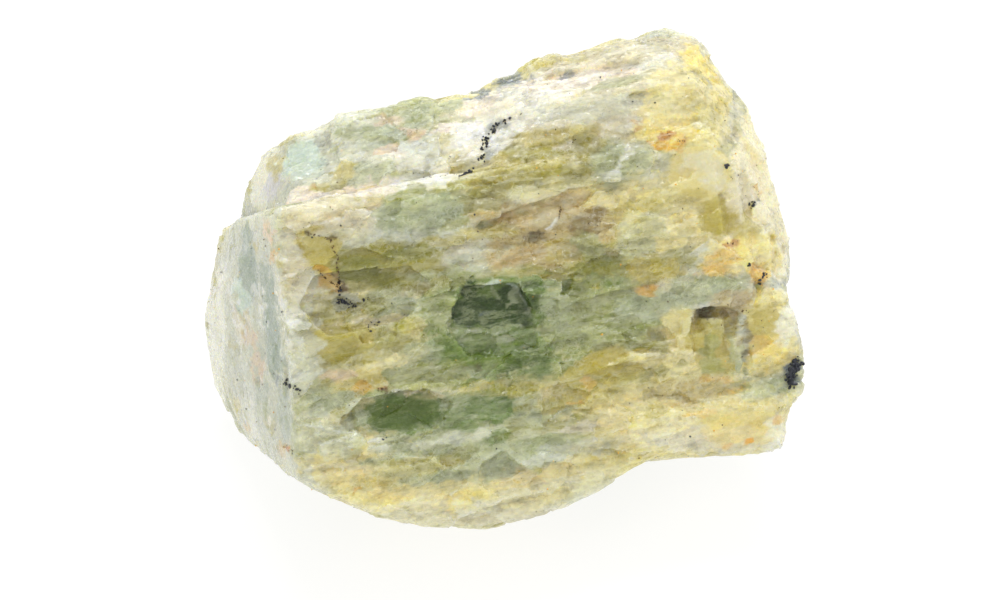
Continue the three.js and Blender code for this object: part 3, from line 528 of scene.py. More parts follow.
def through_modifier(mesh, kind, **settings):
    """The mesh as one modifier leaves it."""
    carrier = bpy.data.objects.new("stone_carrier", mesh)
    bpy.context.scene.collection.objects.link(carrier)
    if "vertex_group" in settings:
        shares = settings.pop("shares")
        group = carrier.vertex_groups.new(name=settings["vertex_group"])
        for index, share in enumerate(shares):
            group.add([index], float(share), "REPLACE")
    modifier = carrier.modifiers.new("change", kind)
    for name, value in settings.items():
        setattr(modifier, name, value)
    evaluated = carrier.evaluated_get(bpy.context.evaluated_depsgraph_get())
    changed = bpy.data.meshes.new_from_object(evaluated)
    bpy.data.objects.remove(carrier)
    return changed


def vertex_array(mesh, collection, field):
    values = np.zeros(len(mesh.vertices) * 3, np.float32)
    collection.foreach_get(field, values)
    return values.reshape(-1, 3).astype(float)


def axis_coordinates(points):
    """Places along the prism axis, across it and upwards, in mm."""
    c, s = math.cos(AXIS_TURN), math.sin(AXIS_TURN)
    along = c * points[:, 0] + s * points[:, 1]
    across = c * points[:, 1] - s * points[:, 0]
    return np.stack([along, across, points[:, 2]], -1)


def from_axis(q):
    c, s = math.cos(AXIS_TURN), math.sin(AXIS_TURN)
    return np.stack([c * q[:, 0] - s * q[:, 1], s * q[:, 0] + c * q[:, 1], q[:, 2]], -1)


# How far a torn patch of colour is pulled to the middles of the small and the large facets.
SMALL_PULL, LARGE_PULL = 0.5, 0.15
# How far facets step beside how far they tilt.
STEP_SHARE = 0.5


class Cleavage:
    """The stone's facets at two sizes: which facet each place belongs to, drawn out along the prism axis."""

    def __init__(self, points, shape):
        self.q = axis_coordinates(points)
        self.salt = shape.seed * 100
        self.large_size = np.array([shape.facet_length, shape.facet_width, shape.facet_width]) / MM
        self.small_size = np.array([shape.chip_length, shape.chip_width, shape.chip_width]) / MM
        self.large_away, self.large = cells(self.q / self.large_size, self.salt + 51)
        self.small_away, self.small = cells(self.q / self.small_size, self.salt + 61)

    def level(self, away, numbers):
        """How far each place stands out on its facet, which tilts and steps by the facet's own numbers."""
        tilt = numbers * 2 - 1
        return np.sum(tilt * away, -1) + STEP_SHARE * tilt[:, 0]

    def snapped(self):
        """Every place moved some of the way to the middles of its small and its large facet."""
        to_small = SMALL_PULL * self.small_away * self.small_size
        to_large = LARGE_PULL * self.large_away * self.large_size
        return from_axis(self.q - to_small - to_large)


# Sizes in mm of the noise behind the relief: along the prism axis, across it and upwards.
BROKEN_PLACES_MM = (9.0, 6.0, 6.0)
SWELLS_MM = (10.0, 6.5, 6.5)
LEDGES_MM = (15.0, 4.6, 4.6)
GRAIN_MM = (0.95, 0.5, 0.5)
# How rough the stone is everywhere, how much rougher where it is broken, and the noise that breaks it.
LEAST_ROUGH, MORE_ROUGH, BROKEN_NOISE = 0.55, 0.75, (-0.35, 0.4)
# How many ledges lie between the noise's low and high places, the last part of each, where it steps up,
# and how far its foot is lifted.
LEDGE_COUNT, LEDGE_STEP, LEDGE_LIFT = 4.0, (0.86, 1.0), 0.4
# How much of the broad and of the fine relief a smooth place loses.
BROAD_LOSS, FINE_LOSS = 0.5, 0.85
# The relief fades in between these heights (mm), so that the foot stays flat.
FOOT_FADE_MM = (0.15, 1.4)
# How far the stone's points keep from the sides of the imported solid's box (mm).
BOX_GAP_MM = 0.02
# How smooth the left end is, how squarely it faces back along the axis, and how far round to the camera.
END_POLISH, END_FACING, END_SEEN = 0.85, (0.6, 0.9), (0.2, -0.2)


def relief(cleavage, shape, polish):
    """How far each place stands out, in mm. Small relief is faint where the stone is smooth."""
    q, salt = cleavage.q, cleavage.salt
    broken = smoothstep(*BROKEN_NOISE, noise(q / BROKEN_PLACES_MM, salt + 1))
    rough = LEAST_ROUGH + MORE_ROUGH * broken
    lumps = fractal(q / SWELLS_MM, 3, salt + 2)
    steps = fractal(q / LEDGES_MM, 3, salt + 31) * LEDGE_COUNT
    part = steps - np.floor(steps)
    ledges = smoothstep(*LEDGE_STEP, part) - part + LEDGE_LIFT
    large = cleavage.level(cleavage.large_away, cleavage.large)
    small = cleavage.level(cleavage.small_away, cleavage.small)
    grain = fractal(q / GRAIN_MM, 2, salt + 71)
    fine = shape.ledges * ledges + shape.chip_height * small + shape.grain * grain
    broad = shape.lumps * lumps + shape.facet_height * large * (1 - BROAD_LOSS * polish)
    return (broad + fine * rough * (1 - FINE_LOSS * polish)) / MM


def smoothness(points, normals, camera):
    """From 0, broken and rough, to 1, smooth: the smooth places and the left end where the camera sees it."""
    axis = np.array([math.cos(AXIS_TURN), math.sin(AXIS_TURN), 0.0])
    smooth = END_POLISH * smoothstep(*END_FACING, -normals @ axis) * smoothstep(*END_SEEN, normals[:, 1])
    places = (camera.project(points),) * 2
    for oval in SMOOTH_PLACES:
        smooth = np.maximum(smooth, oval_share(places, ("", *oval), camera, (0.0, 0.0, 0.0)))
    return smooth


def roughen(mesh, shape, camera):
    """Moves the mesh's points in and out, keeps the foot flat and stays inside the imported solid's box."""
    points = vertex_array(mesh, mesh.vertices, "co")
    normals = vertex_array(mesh, mesh.vertex_normals, "vector")
    cleavage = Cleavage(points, shape)
    polish = smoothness(points, normals, camera)
    height = relief(cleavage, shape, polish) * smoothstep(*FOOT_FADE_MM, points[:, 2])
    points += normals * height[:, None]
    low, high = (np.array(corner) / MM for corner in CAD_BOX)
    points = np.clip(points, low + (BOX_GAP_MM, BOX_GAP_MM, 0.0), high - BOX_GAP_MM)
    mesh.vertices.foreach_set("co", points.astype(np.float32).ravel())
    mesh.update()
    return points, cleavage, polish


# From this raggedness on, a patch ends at the edges of facets.
TORN = 0.3
# How far a ragged patch strays (px), and how much its outline winds: always, and by raggedness.
STRAY_PX = 8.0
LEAST_WINDING, WINDING = 0.08, 0.85
# How soft a patch's edge is inside its outline: always, and by raggedness. Outside it is this share of that.
LEAST_SOFTNESS, SOFTNESS, OUTER_SHARE = 0.06, 0.28, 0.6
# How deep a patch goes: at least this (mm), and this share of its longer half.
LEAST_DEPTH_MM, DEPTH_SHARE = 2.5, 0.8


def oval_share(places, patch, camera, wander):
    """How much of a patch's colour each place takes. A ragged patch ends at facet edges."""
    _, x0, y0, long, high, rise, strength, ragged = patch
    x, y, depth = (places[1] if ragged >= TORN else places[0]).T
    turn = math.radians(rise)
    dx = x - x0 + wander[1] * ragged * STRAY_PX
    dy = y - y0 + wander[2] * ragged * STRAY_PX
    along = (dx * math.cos(turn) - dy * math.sin(turn)) / long
    across = (dx * math.sin(turn) + dy * math.cos(turn)) / high
    reach = max(LEAST_DEPTH_MM, DEPTH_SHARE * max(long, high) / camera.px_per_mm())
    deep = (depth - camera.depth(x0, y0)) / reach
    total = sum(np.abs(part) ** SQUARE for part in (along, across, deep))
    far = total ** (1 / SQUARE) + wander[0] * (LEAST_WINDING + WINDING * ragged)
    edge = LEAST_SOFTNESS + SOFTNESS * ragged
    return strength * (1 - smoothstep(1 - edge, 1 + edge * OUTER_SHARE, far))


# Sizes in mm of the noise behind the colours that no patch reaches.
BANDS_MM = (11.0, 5.0, 5.0)
COOL_MM = (14.0, 9.0, 9.0)
OLIVE_MM = (12.0, 2.4, 2.4)
CREAM_MM = (9.0, 3.0, 3.0)
# The noise in which one colour goes over into the next: yellow, green, from the one to the other, streaks.
WARM_NOISE, GREEN_NOISE, COOL_NOISE, STREAK_NOISE = (-0.1, 0.35), (-0.15, 0.3), (-0.25, 0.3), (0.10, 0.40)
# How much of the stone under them the olive and the cream streaks cover.
OLIVE_COVER, CREAM_COVER = 0.85, 0.8
# The ends' own colours begin and are full this far along the prism axis from the middle (mm).
END_MM = (16.0, 21.0)
# How much the ends' border wanders with the bands (mm).
END_WANDER_MM = 3
# How much the left and the right end's colours cover, and how much more where the stone is pale.
LEFT_COVER, RIGHT_COVER, PALE_COVER = 0.6, 0.35, 0.4


def laid_over(colour, shade, share, cover=1.0):
    """The colour with a shade laid over a share of it, as far as the shade covers."""
    return colour + (shade - colour) * share * cover


def background_colour(q, shades, salt):
    """What no patch reaches: the back, the foot and the sides, mottled from the same colours."""
    broad = fractal(q / BANDS_MM, 3, salt + 61)[:, None]
    cool = smoothstep(*COOL_NOISE, fractal(q / COOL_MM, 2, salt + 81))[:, None]
    warm = laid_over(shades["straw"], shades["khaki"], smoothstep(*WARM_NOISE, broad))
    green = laid_over(shades["mist"], shades["sage"], smoothstep(*GREEN_NOISE, broad))
    dark = smoothstep(*STREAK_NOISE, fractal(q / OLIVE_MM, 4, salt + 101, 0.65))[:, None]
    pale = smoothstep(*STREAK_NOISE, fractal(q / CREAM_MM, 3, salt + 121))[:, None]
    colour = laid_over(warm, green, cool)
    colour = laid_over(colour, shades["olive"], dark, OLIVE_COVER)
    colour = laid_over(colour, shades["cream"], pale, CREAM_COVER)
    along = q[:, :1] + END_WANDER_MM * broad
    left, right = smoothstep(*END_MM, -along), smoothstep(*END_MM, along)
    colour = laid_over(colour, shades["mist"], left, LEFT_COVER + PALE_COVER * pale)
    return laid_over(colour, shades["cream"], right, RIGHT_COVER + PALE_COVER * pale)


# Sizes in mm of the noise that winds the patches' outlines, and of the noise that moves them.
OUTLINE_MM = (2.2, 0.9, 0.9)
STRAY_MM = (3.2, 1.5, 1.5)
# How much the tone and the warmth differ from facet to facet: small facets, and large ones.
TONE_SPREAD = (0.20, 0.12)
WARMTH_SPREAD = (0.04, 0.03)
# How much more blue a warmer facet loses than it gains in red.
BLUE_LOSS = 1.6
# Stone of this luminance and less is wholly clear; from the second on it is cloudy.
CLEAR_LUMINANCE = (0.10, 0.45)
LUMINANCE = (0.2126, 0.7152, 0.0722)


def paint(mesh, points, cleavage, polish, colours, camera):
    """Writes the colour of every point, and how clear and how smooth the stone is there."""
    q, salt = cleavage.q, cleavage.salt + 500
    shades = {name: linear(getattr(colours, name)) for name in PALETTE}
    snapped = cleavage.snapped()
    places = (camera.project(points), camera.project(snapped))
    wander = (
        fractal(q / OUTLINE_MM, 4, salt + 41, 0.7),
        fractal(q / STRAY_MM, 2, salt + 1),
        fractal(q / STRAY_MM, 2, salt + 21),
    )
    colour = background_colour(axis_coordinates(snapped), shades, salt)
    for patches in ZONES.values():
        for patch in patches:
            share = oval_share(places, patch, camera, wander)
            colour = laid_over(colour, shades[patch[0]], share[:, None])
    varied = 1 - FINE_LOSS * polish
    small, large = cleavage.small - 0.5, cleavage.large - 0.5
    tone = 1 + (TONE_SPREAD[0] * small[:, 1] + TONE_SPREAD[1] * large[:, 1]) * varied
    warmth = (WARMTH_SPREAD[0] * small[:, 2] + WARMTH_SPREAD[1] * large[:, 2]) * varied
    tints = np.stack([tone * (1 + warmth), tone, tone * (1 - BLUE_LOSS * warmth)], -1)
    colour = np.clip(colour * tints, 0, 1)
    clear = 1 - smoothstep(*CLEAR_LUMINANCE, colour @ LUMINANCE)
    ones = np.ones(len(points))
    for name, columns in (("zone", (*colour.T, ones)), ("masks", (clear, polish, ones, ones))):
        layer = mesh.color_attributes.new(name, "FLOAT_COLOR", "POINT")
        layer.data.foreach_set("color", np.column_stack(columns).astype(np.float32).ravel())


# How rough the noise is whose middle value draws a vein.
VEIN_ROUGHNESS = 0.68


class Nodes:
    """Adds nodes to a tree and joins them in one line each."""

    def __init__(self, tree):
        self.tree = tree

    def feed(self, socket, value):
        if isinstance(value, bpy.types.NodeSocket):
            self.tree.links.new(value, socket)
        else:
            socket.default_value = value

    def add(self, kind, inputs=None, **settings):
        node = self.tree.nodes.new(kind)
        for name, value in settings.items():
            setattr(node, name, value)
        for name, value in (inputs or {}).items():
            self.feed(node.inputs[name], value)
        return node

    def math(self, operation, a, b=0.0, c=0.0, clamp=False):
        return self.add("ShaderNodeMath", {0: a, 1: b, 2: c}, operation=operation, use_clamp=clamp).outputs[0]

    def vector(self, operation, a, b, output=0):
        return self.add("ShaderNodeVectorMath", {0: a, 1: b}, operation=operation).outputs[output]

    def mix(self, share, a, b, blend="MIX"):
        node = self.add("ShaderNodeMix", data_type="RGBA", blend_type=blend)
        for index, value in ((0, share), (6, a), (7, b)):
            self.feed(node.inputs[index], value)
        return node.outputs[2]

    def band(self, value, low, high):
        """0 below low, 1 above high, and smooth between them."""
        limits = {0: value, 1: low, 2: high}
        return self.add("ShaderNodeMapRange", limits, interpolation_type="SMOOTHSTEP").outputs[0]

    def vein(self, vector, scale, detail, distortion, width):
        """1 along the thin winding lines where a noise passes its middle value, 0 away from them."""
        noise_value = self.cloud(vector, scale, detail, distortion, VEIN_ROUGHNESS)
        off = self.math("ABSOLUTE", self.math("SUBTRACT", noise_value, 0.5))
        return self.math("SUBTRACT", 1.0, self.band(off, 0.0, width))

    def cloud(self, vector, scale, detail, distortion=0.0, roughness=0.55):
        inputs = {"Vector": vector, "Scale": scale, "Detail": detail}
        inputs.update({"Distortion": distortion, "Roughness": roughness})
        return self.add("ShaderNodeTexNoise", inputs).outputs[0]


def new_group(name, inputs, outputs):
    """An empty node group with its named sockets, and the nodes that stand for them inside it."""
    group = bpy.data.node_groups.new(name, "ShaderNodeTree")
    for label, kind, default in inputs:
        socket = group.interface.new_socket(label, in_out="INPUT", socket_type=kind)
        if default is not None:
            socket.default_value = default
    for label, kind in outputs:
        group.interface.new_socket(label, in_out="OUTPUT", socket_type=kind)
    n = Nodes(group)
    return group, n, n.add("NodeGroupInput").outputs, n.add("NodeGroupOutput").inputs


# How much facets step beside how much they lean, and how wide the edge between two is, as a share of a facet.
FACET_STEP, FACET_LEAN, FACET_EDGE = 0.3, 2.0, 0.12


def facet_group():
    """Flat facets at one size: two tones for each, their edges, and a height in mm that tilts and steps."""
    numbers = (("Length", 1.0), ("Width", 0.5), ("Slope", 0.3))
    sockets = (
        ("Place", "NodeSocketVector", None), *((label, "NodeSocketFloat", value) for label, value in numbers)
    )
    outputs = tuple((label, "NodeSocketFloat") for label in ("Tone", "Second Tone", "Height", "Edge"))
    group, n, given, out = new_group("cleavage_facets", sockets, outputs)
    sides = dict(enumerate((given["Length"], given["Width"], given["Width"])))
    size = n.add("ShaderNodeCombineXYZ", sides).outputs[0]
    scaled = n.vector("DIVIDE", given["Place"], size)
    pattern = {"Vector": scaled, "Scale": 1.0, "Randomness": 1.0}
    cell = n.add("ShaderNodeTexVoronoi", pattern).outputs
    border = n.add("ShaderNodeTexVoronoi", pattern, feature="DISTANCE_TO_EDGE").outputs["Distance"]
    away = n.vector("SUBTRACT", scaled, cell["Position"])
    tilt = n.vector("SUBTRACT", cell["Color"], (0.5, 0.5, 0.5))
    lean = n.vector("DOT_PRODUCT", tilt, away, 1)
    parts = n.add("ShaderNodeSeparateColor", {0: cell["Color"]}).outputs
    height = n.math("MULTIPLY_ADD", parts[0], FACET_STEP, n.math("MULTIPLY", lean, FACET_LEAN))
    height = n.math("MULTIPLY", n.math("MULTIPLY", height, given["Width"]), given["Slope"])
    edge = n.math("SUBTRACT", 1.0, n.band(border, 0.0, FACET_EDGE))
    for label, value in (("Tone", parts[1]), ("Second Tone", parts[2]), ("Height", height), ("Edge", edge)):
        n.feed(out[label], value)
    return group


def place_in_mm(n):
    """Where the surface is, in mm, turned so that X runs along the prism axis."""
    where = n.add("ShaderNodeTexCoord").outputs["Object"]
    scaled = n.vector("SCALE", where, (0, 0, 0))
    scaled.node.inputs["Scale"].default_value = 1 / MM
    turn = {"Vector": scaled, "Angle": -AXIS_TURN}
    return n.add("ShaderNodeVectorRotate", turn, rotation_type="Z_AXIS").outputs[0]


def use_facets(n, group, place, length, width, slope):
    node = n.add("ShaderNodeGroup", node_tree=group)
    for label, value in (("Place", place), ("Length", length), ("Width", width), ("Slope", slope)):
        n.feed(node.inputs[label], value)
    return node.outputs


# Noise in the stone's colour: bumps per mm, detail, how much it winds, how rough it is.
STREAKS = (0.95, 5.0, 0.5, 0.62)
SPECKLE = (2.6, 4.0, 0.2, 0.65)
VEILED_PLACES = (0.33, 4.0, 0.4)
FIBRES = (1.6, 3.0, 0.4, 0.6)
THREADED_PLACES = (0.55, 3.0)
RIPPLES = (3.4, 4.0, 0.2, 0.6)
# Thin winding lines: bumps per mm, detail, how much they wind, how wide they are.
WISPS = (0.50, 5.0, 0.5, 0.10)
FEATHERS = (1.1, 4.0, 0.4, 0.07)
THREADS = (1.3, 5.0, 0.7, 0.09)
# Facets in the surface: length, width (mm) and slope.
COARSE_FACETS = (0.85, 0.46, 0.26)
FINE_FACETS = (0.36, 0.22, 0.26)
# These move a pattern (mm), so that it doesn't repeat another one.
FINE_OFFSET, FEATHER_OFFSET, THREAD_OFFSET = (31.7, 12.3, 7.9), (5.1, 3.3, 9.2), (8.3, 1.7, 4.4)
# How clear the stone is where it begins to count as the clearest, and where it fully does.
CLEAREST = (0.55, 1.0)
# Streaks and fibres are drawn out along the prism axis.
STREAK_STRETCH, FIBRE_STRETCH = (0.32, 1.0, 1.0), (0.45, 1.5, 1.5)
# How strongly veils whiten the stone, and how strongly threads do.
VEIL_SHARE, THREAD_SHARE = 0.62, 0.55
# The shade under all streaks and tones, and the even shade of smooth stone.
BASE_SHADE, SMOOTH_SHADE = 0.01, (0.95, 0.95, 0.95, 1.0)
# The least roughness, and what the finest facets, smooth stone and veils add to it.
LEAST_ROUGHNESS, FACET_ROUGHNESS, SMOOTH_ROUGHNESS, VEIL_ROUGHNESS = 0.10, 0.40, -0.15, 0.25
# How high ripples stand, and how much of all bumps a smooth place loses.
RIPPLE_MM, BUMP_LOSS = 0.05, 0.8
BERYL = {
    "IOR": 1.57, "Subsurface Weight": 0.9, "Subsurface Radius": (1.0, 0.9, 0.5), "Subsurface Scale": 4.0 * MM,
    "Transmission Weight": 0.10, "Specular IOR Level": 0.42,
}


def shaded_zones(n, zone, polish, tones):
    """The zones' colours, made lighter and darker by every tone as its weight says."""
    shade = BASE_SHADE
    for tone, weight in tones:
        shade = n.math("MULTIPLY_ADD", tone, weight, shade)
    grey = n.add("ShaderNodeCombineColor", {0: shade, 1: shade, 2: shade}).outputs[0]
    grey = n.mix(n.math("MULTIPLY", polish, FINE_LOSS), grey, SMOOTH_SHADE)
    return n.mix(1.0, zone, grey, "MULTIPLY")


def milky_veils(n, place, drawn, streaks, coarse):
    """Wisps, feathers, fibres, crazed facets and cracked edges, each with its places and its strength."""
    patchy = n.cloud(drawn, *VEILED_PLACES)
    fibres = n.cloud(n.vector("MULTIPLY", place, FIBRE_STRETCH), *FIBRES)
    feathers = n.vein(n.vector("ADD", place, FEATHER_OFFSET), *FEATHERS)
    veil = 0.0
    for lines, where, strength in (
        (n.vein(drawn, *WISPS), n.band(patchy, 0.40, 0.56), 0.65),
        (feathers, n.band(patchy, 0.62, 0.42), 0.5),
        (n.band(fibres, 0.54, 0.70), 1.0, 0.5),
        (n.band(coarse["Second Tone"], 0.74, 0.95), 1.0, 0.42),
        (coarse["Edge"], n.band(streaks, 0.42, 0.60), 0.55),
    ):
        veil = n.math("MAXIMUM", veil, n.math("MULTIPLY", n.math("MULTIPLY", lines, where), strength))
    return veil


def pale_threads(n, place, drawn, clearest):
    """Threads that cross the clear green stone in some places."""
    threads = n.vein(n.vector("ADD", drawn, THREAD_OFFSET), *THREADS)
    for where in (clearest, n.band(n.cloud(place, *THREADED_PLACES), 0.40, 0.62), THREAD_SHARE):
        threads = n.math("MULTIPLY", threads, where)
    return threads


def stone_roughness(n, fine, polish, veil):
    """How rough the surface is: from facet to facet, less in smooth stone and more in veils."""
    roughness = n.math("MULTIPLY_ADD", fine["Second Tone"], FACET_ROUGHNESS, LEAST_ROUGHNESS)
    roughness = n.math("MULTIPLY_ADD", polish, SMOOTH_ROUGHNESS, roughness)
    return n.math("MULTIPLY_ADD", veil, VEIL_ROUGHNESS, roughness, clamp=True)


def stone_bumps(n, drawn, coarse, fine, polish):
    """Facets at two sizes and ripples, fainter in smooth stone."""
    height = n.math("ADD", coarse["Height"], fine["Height"])
    height = n.math("MULTIPLY_ADD", n.cloud(drawn, *RIPPLES), RIPPLE_MM, height)
    height = n.math("MULTIPLY", height, n.math("MULTIPLY_ADD", polish, -BUMP_LOSS, 1.0))
    return n.add("ShaderNodeBump", {"Height": height, "Strength": 1.0, "Distance": MM}).outputs[0]


def beryl_material(colours):
    """Cloudy beryl: zoned colour, streaks and veils along the axis, and small glassy cleavage facets."""
    material = bpy.data.materials.new("cloudy_beryl")
    material.use_nodes = True
    material.node_tree.nodes.clear()
    n = Nodes(material.node_tree)
    zone = n.add("ShaderNodeAttribute", attribute_name="zone").outputs["Color"]
    masks = n.add("ShaderNodeAttribute", attribute_name="masks").outputs["Color"]
    clear, polish, _ = n.add("ShaderNodeSeparateColor", {0: masks}).outputs
    clearest = n.band(clear, *CLEAREST)
    place = place_in_mm(n)
    drawn = n.vector("MULTIPLY", place, STREAK_STRETCH)
    group = facet_group()
    coarse = use_facets(n, group, place, *COARSE_FACETS)
    fine = use_facets(n, group, n.vector("ADD", place, FINE_OFFSET), *FINE_FACETS)
    streaks = n.cloud(drawn, *STREAKS)
    speckle = n.cloud(place, *SPECKLE)
    tones = ((streaks, 1.00), (speckle, 0.44), (coarse["Tone"], 0.20), (fine["Tone"], 0.16))
    colour = shaded_zones(n, zone, polish, tones)

    # veils fade in dark streaks, in smooth stone and in clear stone
    veil = milky_veils(n, place, drawn, streaks, coarse)
    for share, weight, rest in ((streaks, 1.2, 0.2), (polish, -0.7, 1.0), (clearest, -0.7, 1.0)):
        veil = n.math("MULTIPLY", veil, n.math("MULTIPLY_ADD", share, weight, rest, clamp=True))
    colour = n.mix(n.math("MULTIPLY", veil, VEIL_SHARE), colour, (*linear(colours.veil), 1.0))
    threads = pale_threads(n, place, drawn, clearest)
    colour = n.mix(threads, colour, (*linear(colours.haze), 1.0))

    looks = {
        "Base Color": colour,
        "Roughness": stone_roughness(n, fine, polish, veil),
        "Normal": stone_bumps(n, drawn, coarse, fine, polish),
        **BERYL,
    }
    surface = n.add("ShaderNodeBsdfPrincipled", looks)
    n.feed(n.add("ShaderNodeOutputMaterial").inputs[0], surface.outputs[0])
    return material


# Dark grains: specks per mm and their detail, the shade's spread and least, roughness and refraction.
GRAIN_SPECKLE = (9.0, 2.0)
GRAIN_SHADE = (1.4, 0.3)
GRAIN_ROUGHNESS = (0.5, 0.15)
GRAIN_IOR = 1.6


def grain_material(name, colour):
    """A dark grain: its colour varies from facet to facet."""
    material = bpy.data.materials.new(name)
    material.use_nodes = True
    n = Nodes(material.node_tree)
    surface = material.node_tree.nodes["Principled BSDF"]
    speckle = n.cloud(place_in_mm(n), *GRAIN_SPECKLE)
    shade = n.math("MULTIPLY_ADD", speckle, *GRAIN_SHADE)
    tint = n.add("ShaderNodeCombineColor", {0: shade, 1: shade, 2: shade}).outputs[0]
    n.feed(surface.inputs["Base Color"], n.mix(1.0, (*linear(colour), 1.0), tint, "MULTIPLY"))
    n.feed(surface.inputs["Roughness"], n.math("MULTIPLY_ADD", speckle, *GRAIN_ROUGHNESS))
    surface.inputs["IOR"].default_value = GRAIN_IOR
    return material


# A grain's least and greatest stretch, how far its corners are knocked in and out, and how far its middle
# stands above the stone, as a share of its size.
GRAIN_STRETCH, GRAIN_KNOCK, GRAIN_STAND = (0.55, 1.35), (0.75, 1.2), 0.12
# How much the sizes differ along a trail, and the height that stray grains keep from the foot (mm).
TRAIL_SIZES = (0.5, 1.25)
STRAY_FOOT_MM = 1.0
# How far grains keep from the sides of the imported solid's box (m).
GRAIN_GAP_M = 1e-5


def add_grain(bm, random, place, normal, size, material_index):
    """One angular grain, sunk by a third into the stone."""
    made = bmesh.ops.create_icosphere(bm, subdivisions=1, radius=1.0)
    verts = made["verts"]
    stretch = size * 0.5 * random.uniform(*GRAIN_STRETCH, 3)
    turn = Vector(normal).to_track_quat("Z", "X").to_matrix()
    for vert in verts:
        knocked = Vector(np.array(vert.co) * stretch * random.uniform(*GRAIN_KNOCK, 3))
        vert.co = (turn @ knocked + Vector(place) + Vector(normal) * size * GRAIN_STAND) * MM
    for face in {face for vert in verts for face in vert.link_faces}:
        face.material_index = material_index


def along_trail(corners, share):
    """The place at a share of the way along a trail's corners."""
    corners = np.array(corners, float)
    at = share * (len(corners) - 1)
    leg = min(int(at), len(corners) - 2)
    return corners[leg] + (corners[leg + 1] - corners[leg]) * (at - leg)


def scatter_grains(bm, camera, points, normals, kinds, seed):
    """Puts the grains where the trails run, and the stray ones anywhere but under the foot."""
    random = np.random.default_rng(seed)
    for kind, count, size, stray, corners in TRAILS:
        for _ in range(count):
            x, y = along_trail(corners, random.random()) + random.normal(0, stray * 0.5, 2)
            place, normal = camera.spot(x, y)
            add_grain(bm, random, place, normal, size * random.uniform(*TRAIL_SIZES), kinds.index(kind))
    high = np.flatnonzero(points[:, 2] > STRAY_FOOT_MM)
    for kind, count, least, most in STRAY_GRAINS:
        for index in random.choice(high, count, replace=False):
            size = random.uniform(least, most)
            add_grain(bm, random, points[index], normals[index], size, kinds.index(kind))


def stone_tree(mesh):
    """The stone's surface in mm, ready for finding places on it."""
    points = vertex_array(mesh, mesh.vertices, "co")
    return BVHTree.FromPolygons([tuple(p) for p in points], [tuple(face.vertices) for face in mesh.polygons])


def place_piece(context, name, mesh, replaced=None):
    """Puts a finished mesh in the scene as a piece that rides with the stone's body."""
    piece = bpy.data.objects.new(name, mesh)
    context.scene.collection.objects.link(piece)
    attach(piece, BODY)
    if replaced:
        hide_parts(replaced)
    return piece


# The soft round lights: name, place and the setting that holds the power. All are this wide (m).
LAMPS = (
    ("key_light", (0.02, 0.20, 0.40), "key"), ("fill_light", (-0.25, -0.36, 0.30), "fill"),
    ("side_light", (0.42, 0.02, 0.22), "side"),
)
LAMP_WIDTH = 0.30
# The table: half its side (m), how far it lies under the stone (mm), how much light it throws back.
TABLE_HALF, TABLE_GAP_MM, TABLE_SHADE = 0.9, 0.02, 0.2
TABLE = {"Roughness": 0.7, "Specular IOR Level": 0.1}
CLIP_M = (0.01, 10.0)


class CRYSTAL_OT_set_stage(bpy.types.Operator):
    """Puts up the camera, the pale table and the soft lights"""

    bl_idname = "crystal.set_stage"
    bl_label = "Set the Stage"

    def execute(self, context):
        scene = context.scene
        studio = scene.crystal_studio
        scene.view_settings.view_transform = "Standard"
        self.camera(scene, studio)
        self.table(scene, studio)
        for name, place, setting in LAMPS:
            self.lamp(scene, name, place, getattr(studio, setting))
        world = bpy.data.worlds.new("white_room")
        world.use_nodes = True
        ground = world.node_tree.nodes["Background"]
        ground.inputs[0].default_value = (1.0, 1.0, 1.0, 1.0)
        ground.inputs[1].default_value = studio.room
        scene.world = world
        return {"FINISHED"}

    def camera(self, scene, studio):
        back = camera_axes(studio.elevation)[2]
        data = bpy.data.cameras.new("photo_camera")
        data.lens, data.sensor_width = studio.lens, SENSOR_MM
        data.clip_start, data.clip_end = CLIP_M
        camera = bpy.data.objects.new("photo_camera", data)
        camera.location = Vector(AIM_MM * MM) + Vector(back) * studio.distance
        camera.rotation_euler = (math.radians(90 - studio.elevation), 0.0, 0.0)
        scene.collection.objects.link(camera)
        scene.camera = camera

    def table(self, scene, studio):
        corners = [(x * TABLE_HALF, y * TABLE_HALF, 0) for x, y in ((-1, -1), (1, -1), (1, 1), (-1, 1))]
        mesh = bpy.data.meshes.new("table_top")
        mesh.from_pydata(corners, [], [(0, 1, 2, 3)])
        top = bpy.data.objects.new("table_top", mesh)
        top.location.z = -TABLE_GAP_MM * MM
        material = bpy.data.materials.new("pale_table")
        material.use_nodes = True
        surface = material.node_tree.nodes["Principled BSDF"]
        for name, value in TABLE.items():
            surface.inputs[name].default_value = value
        surface.inputs["Base Color"].default_value = (*(linear(studio.table) * TABLE_SHADE), 1.0)
        surface.inputs["Emission Color"].default_value = (*linear(studio.table), 1.0)
        surface.inputs["Emission Strength"].default_value = studio.glow
        mesh.materials.append(material)
        scene.collection.objects.link(top)

    def lamp(self, scene, name, place, power):
        data = bpy.data.lights.new(name, "AREA")
        data.shape, data.size, data.energy = "DISK", LAMP_WIDTH, power
        lamp = bpy.data.objects.new(name, data)
        lamp.location = place
        lamp.rotation_euler = (Vector(AIM_MM * MM) - Vector(place)).to_track_quat("-Z", "Y").to_euler()
        scene.collection.objects.link(lamp)


# Edges between facets that meet at this angle or more are sharp.
SHARP_ANGLE = math.radians(34)
# How much more the unseen side is thinned out: the least share, and how far the surface turns from the
# camera where thinning is full and where it is least.
LEAST_THINNING, TURNED_AWAY = 0.02, (-0.25, 0.05)


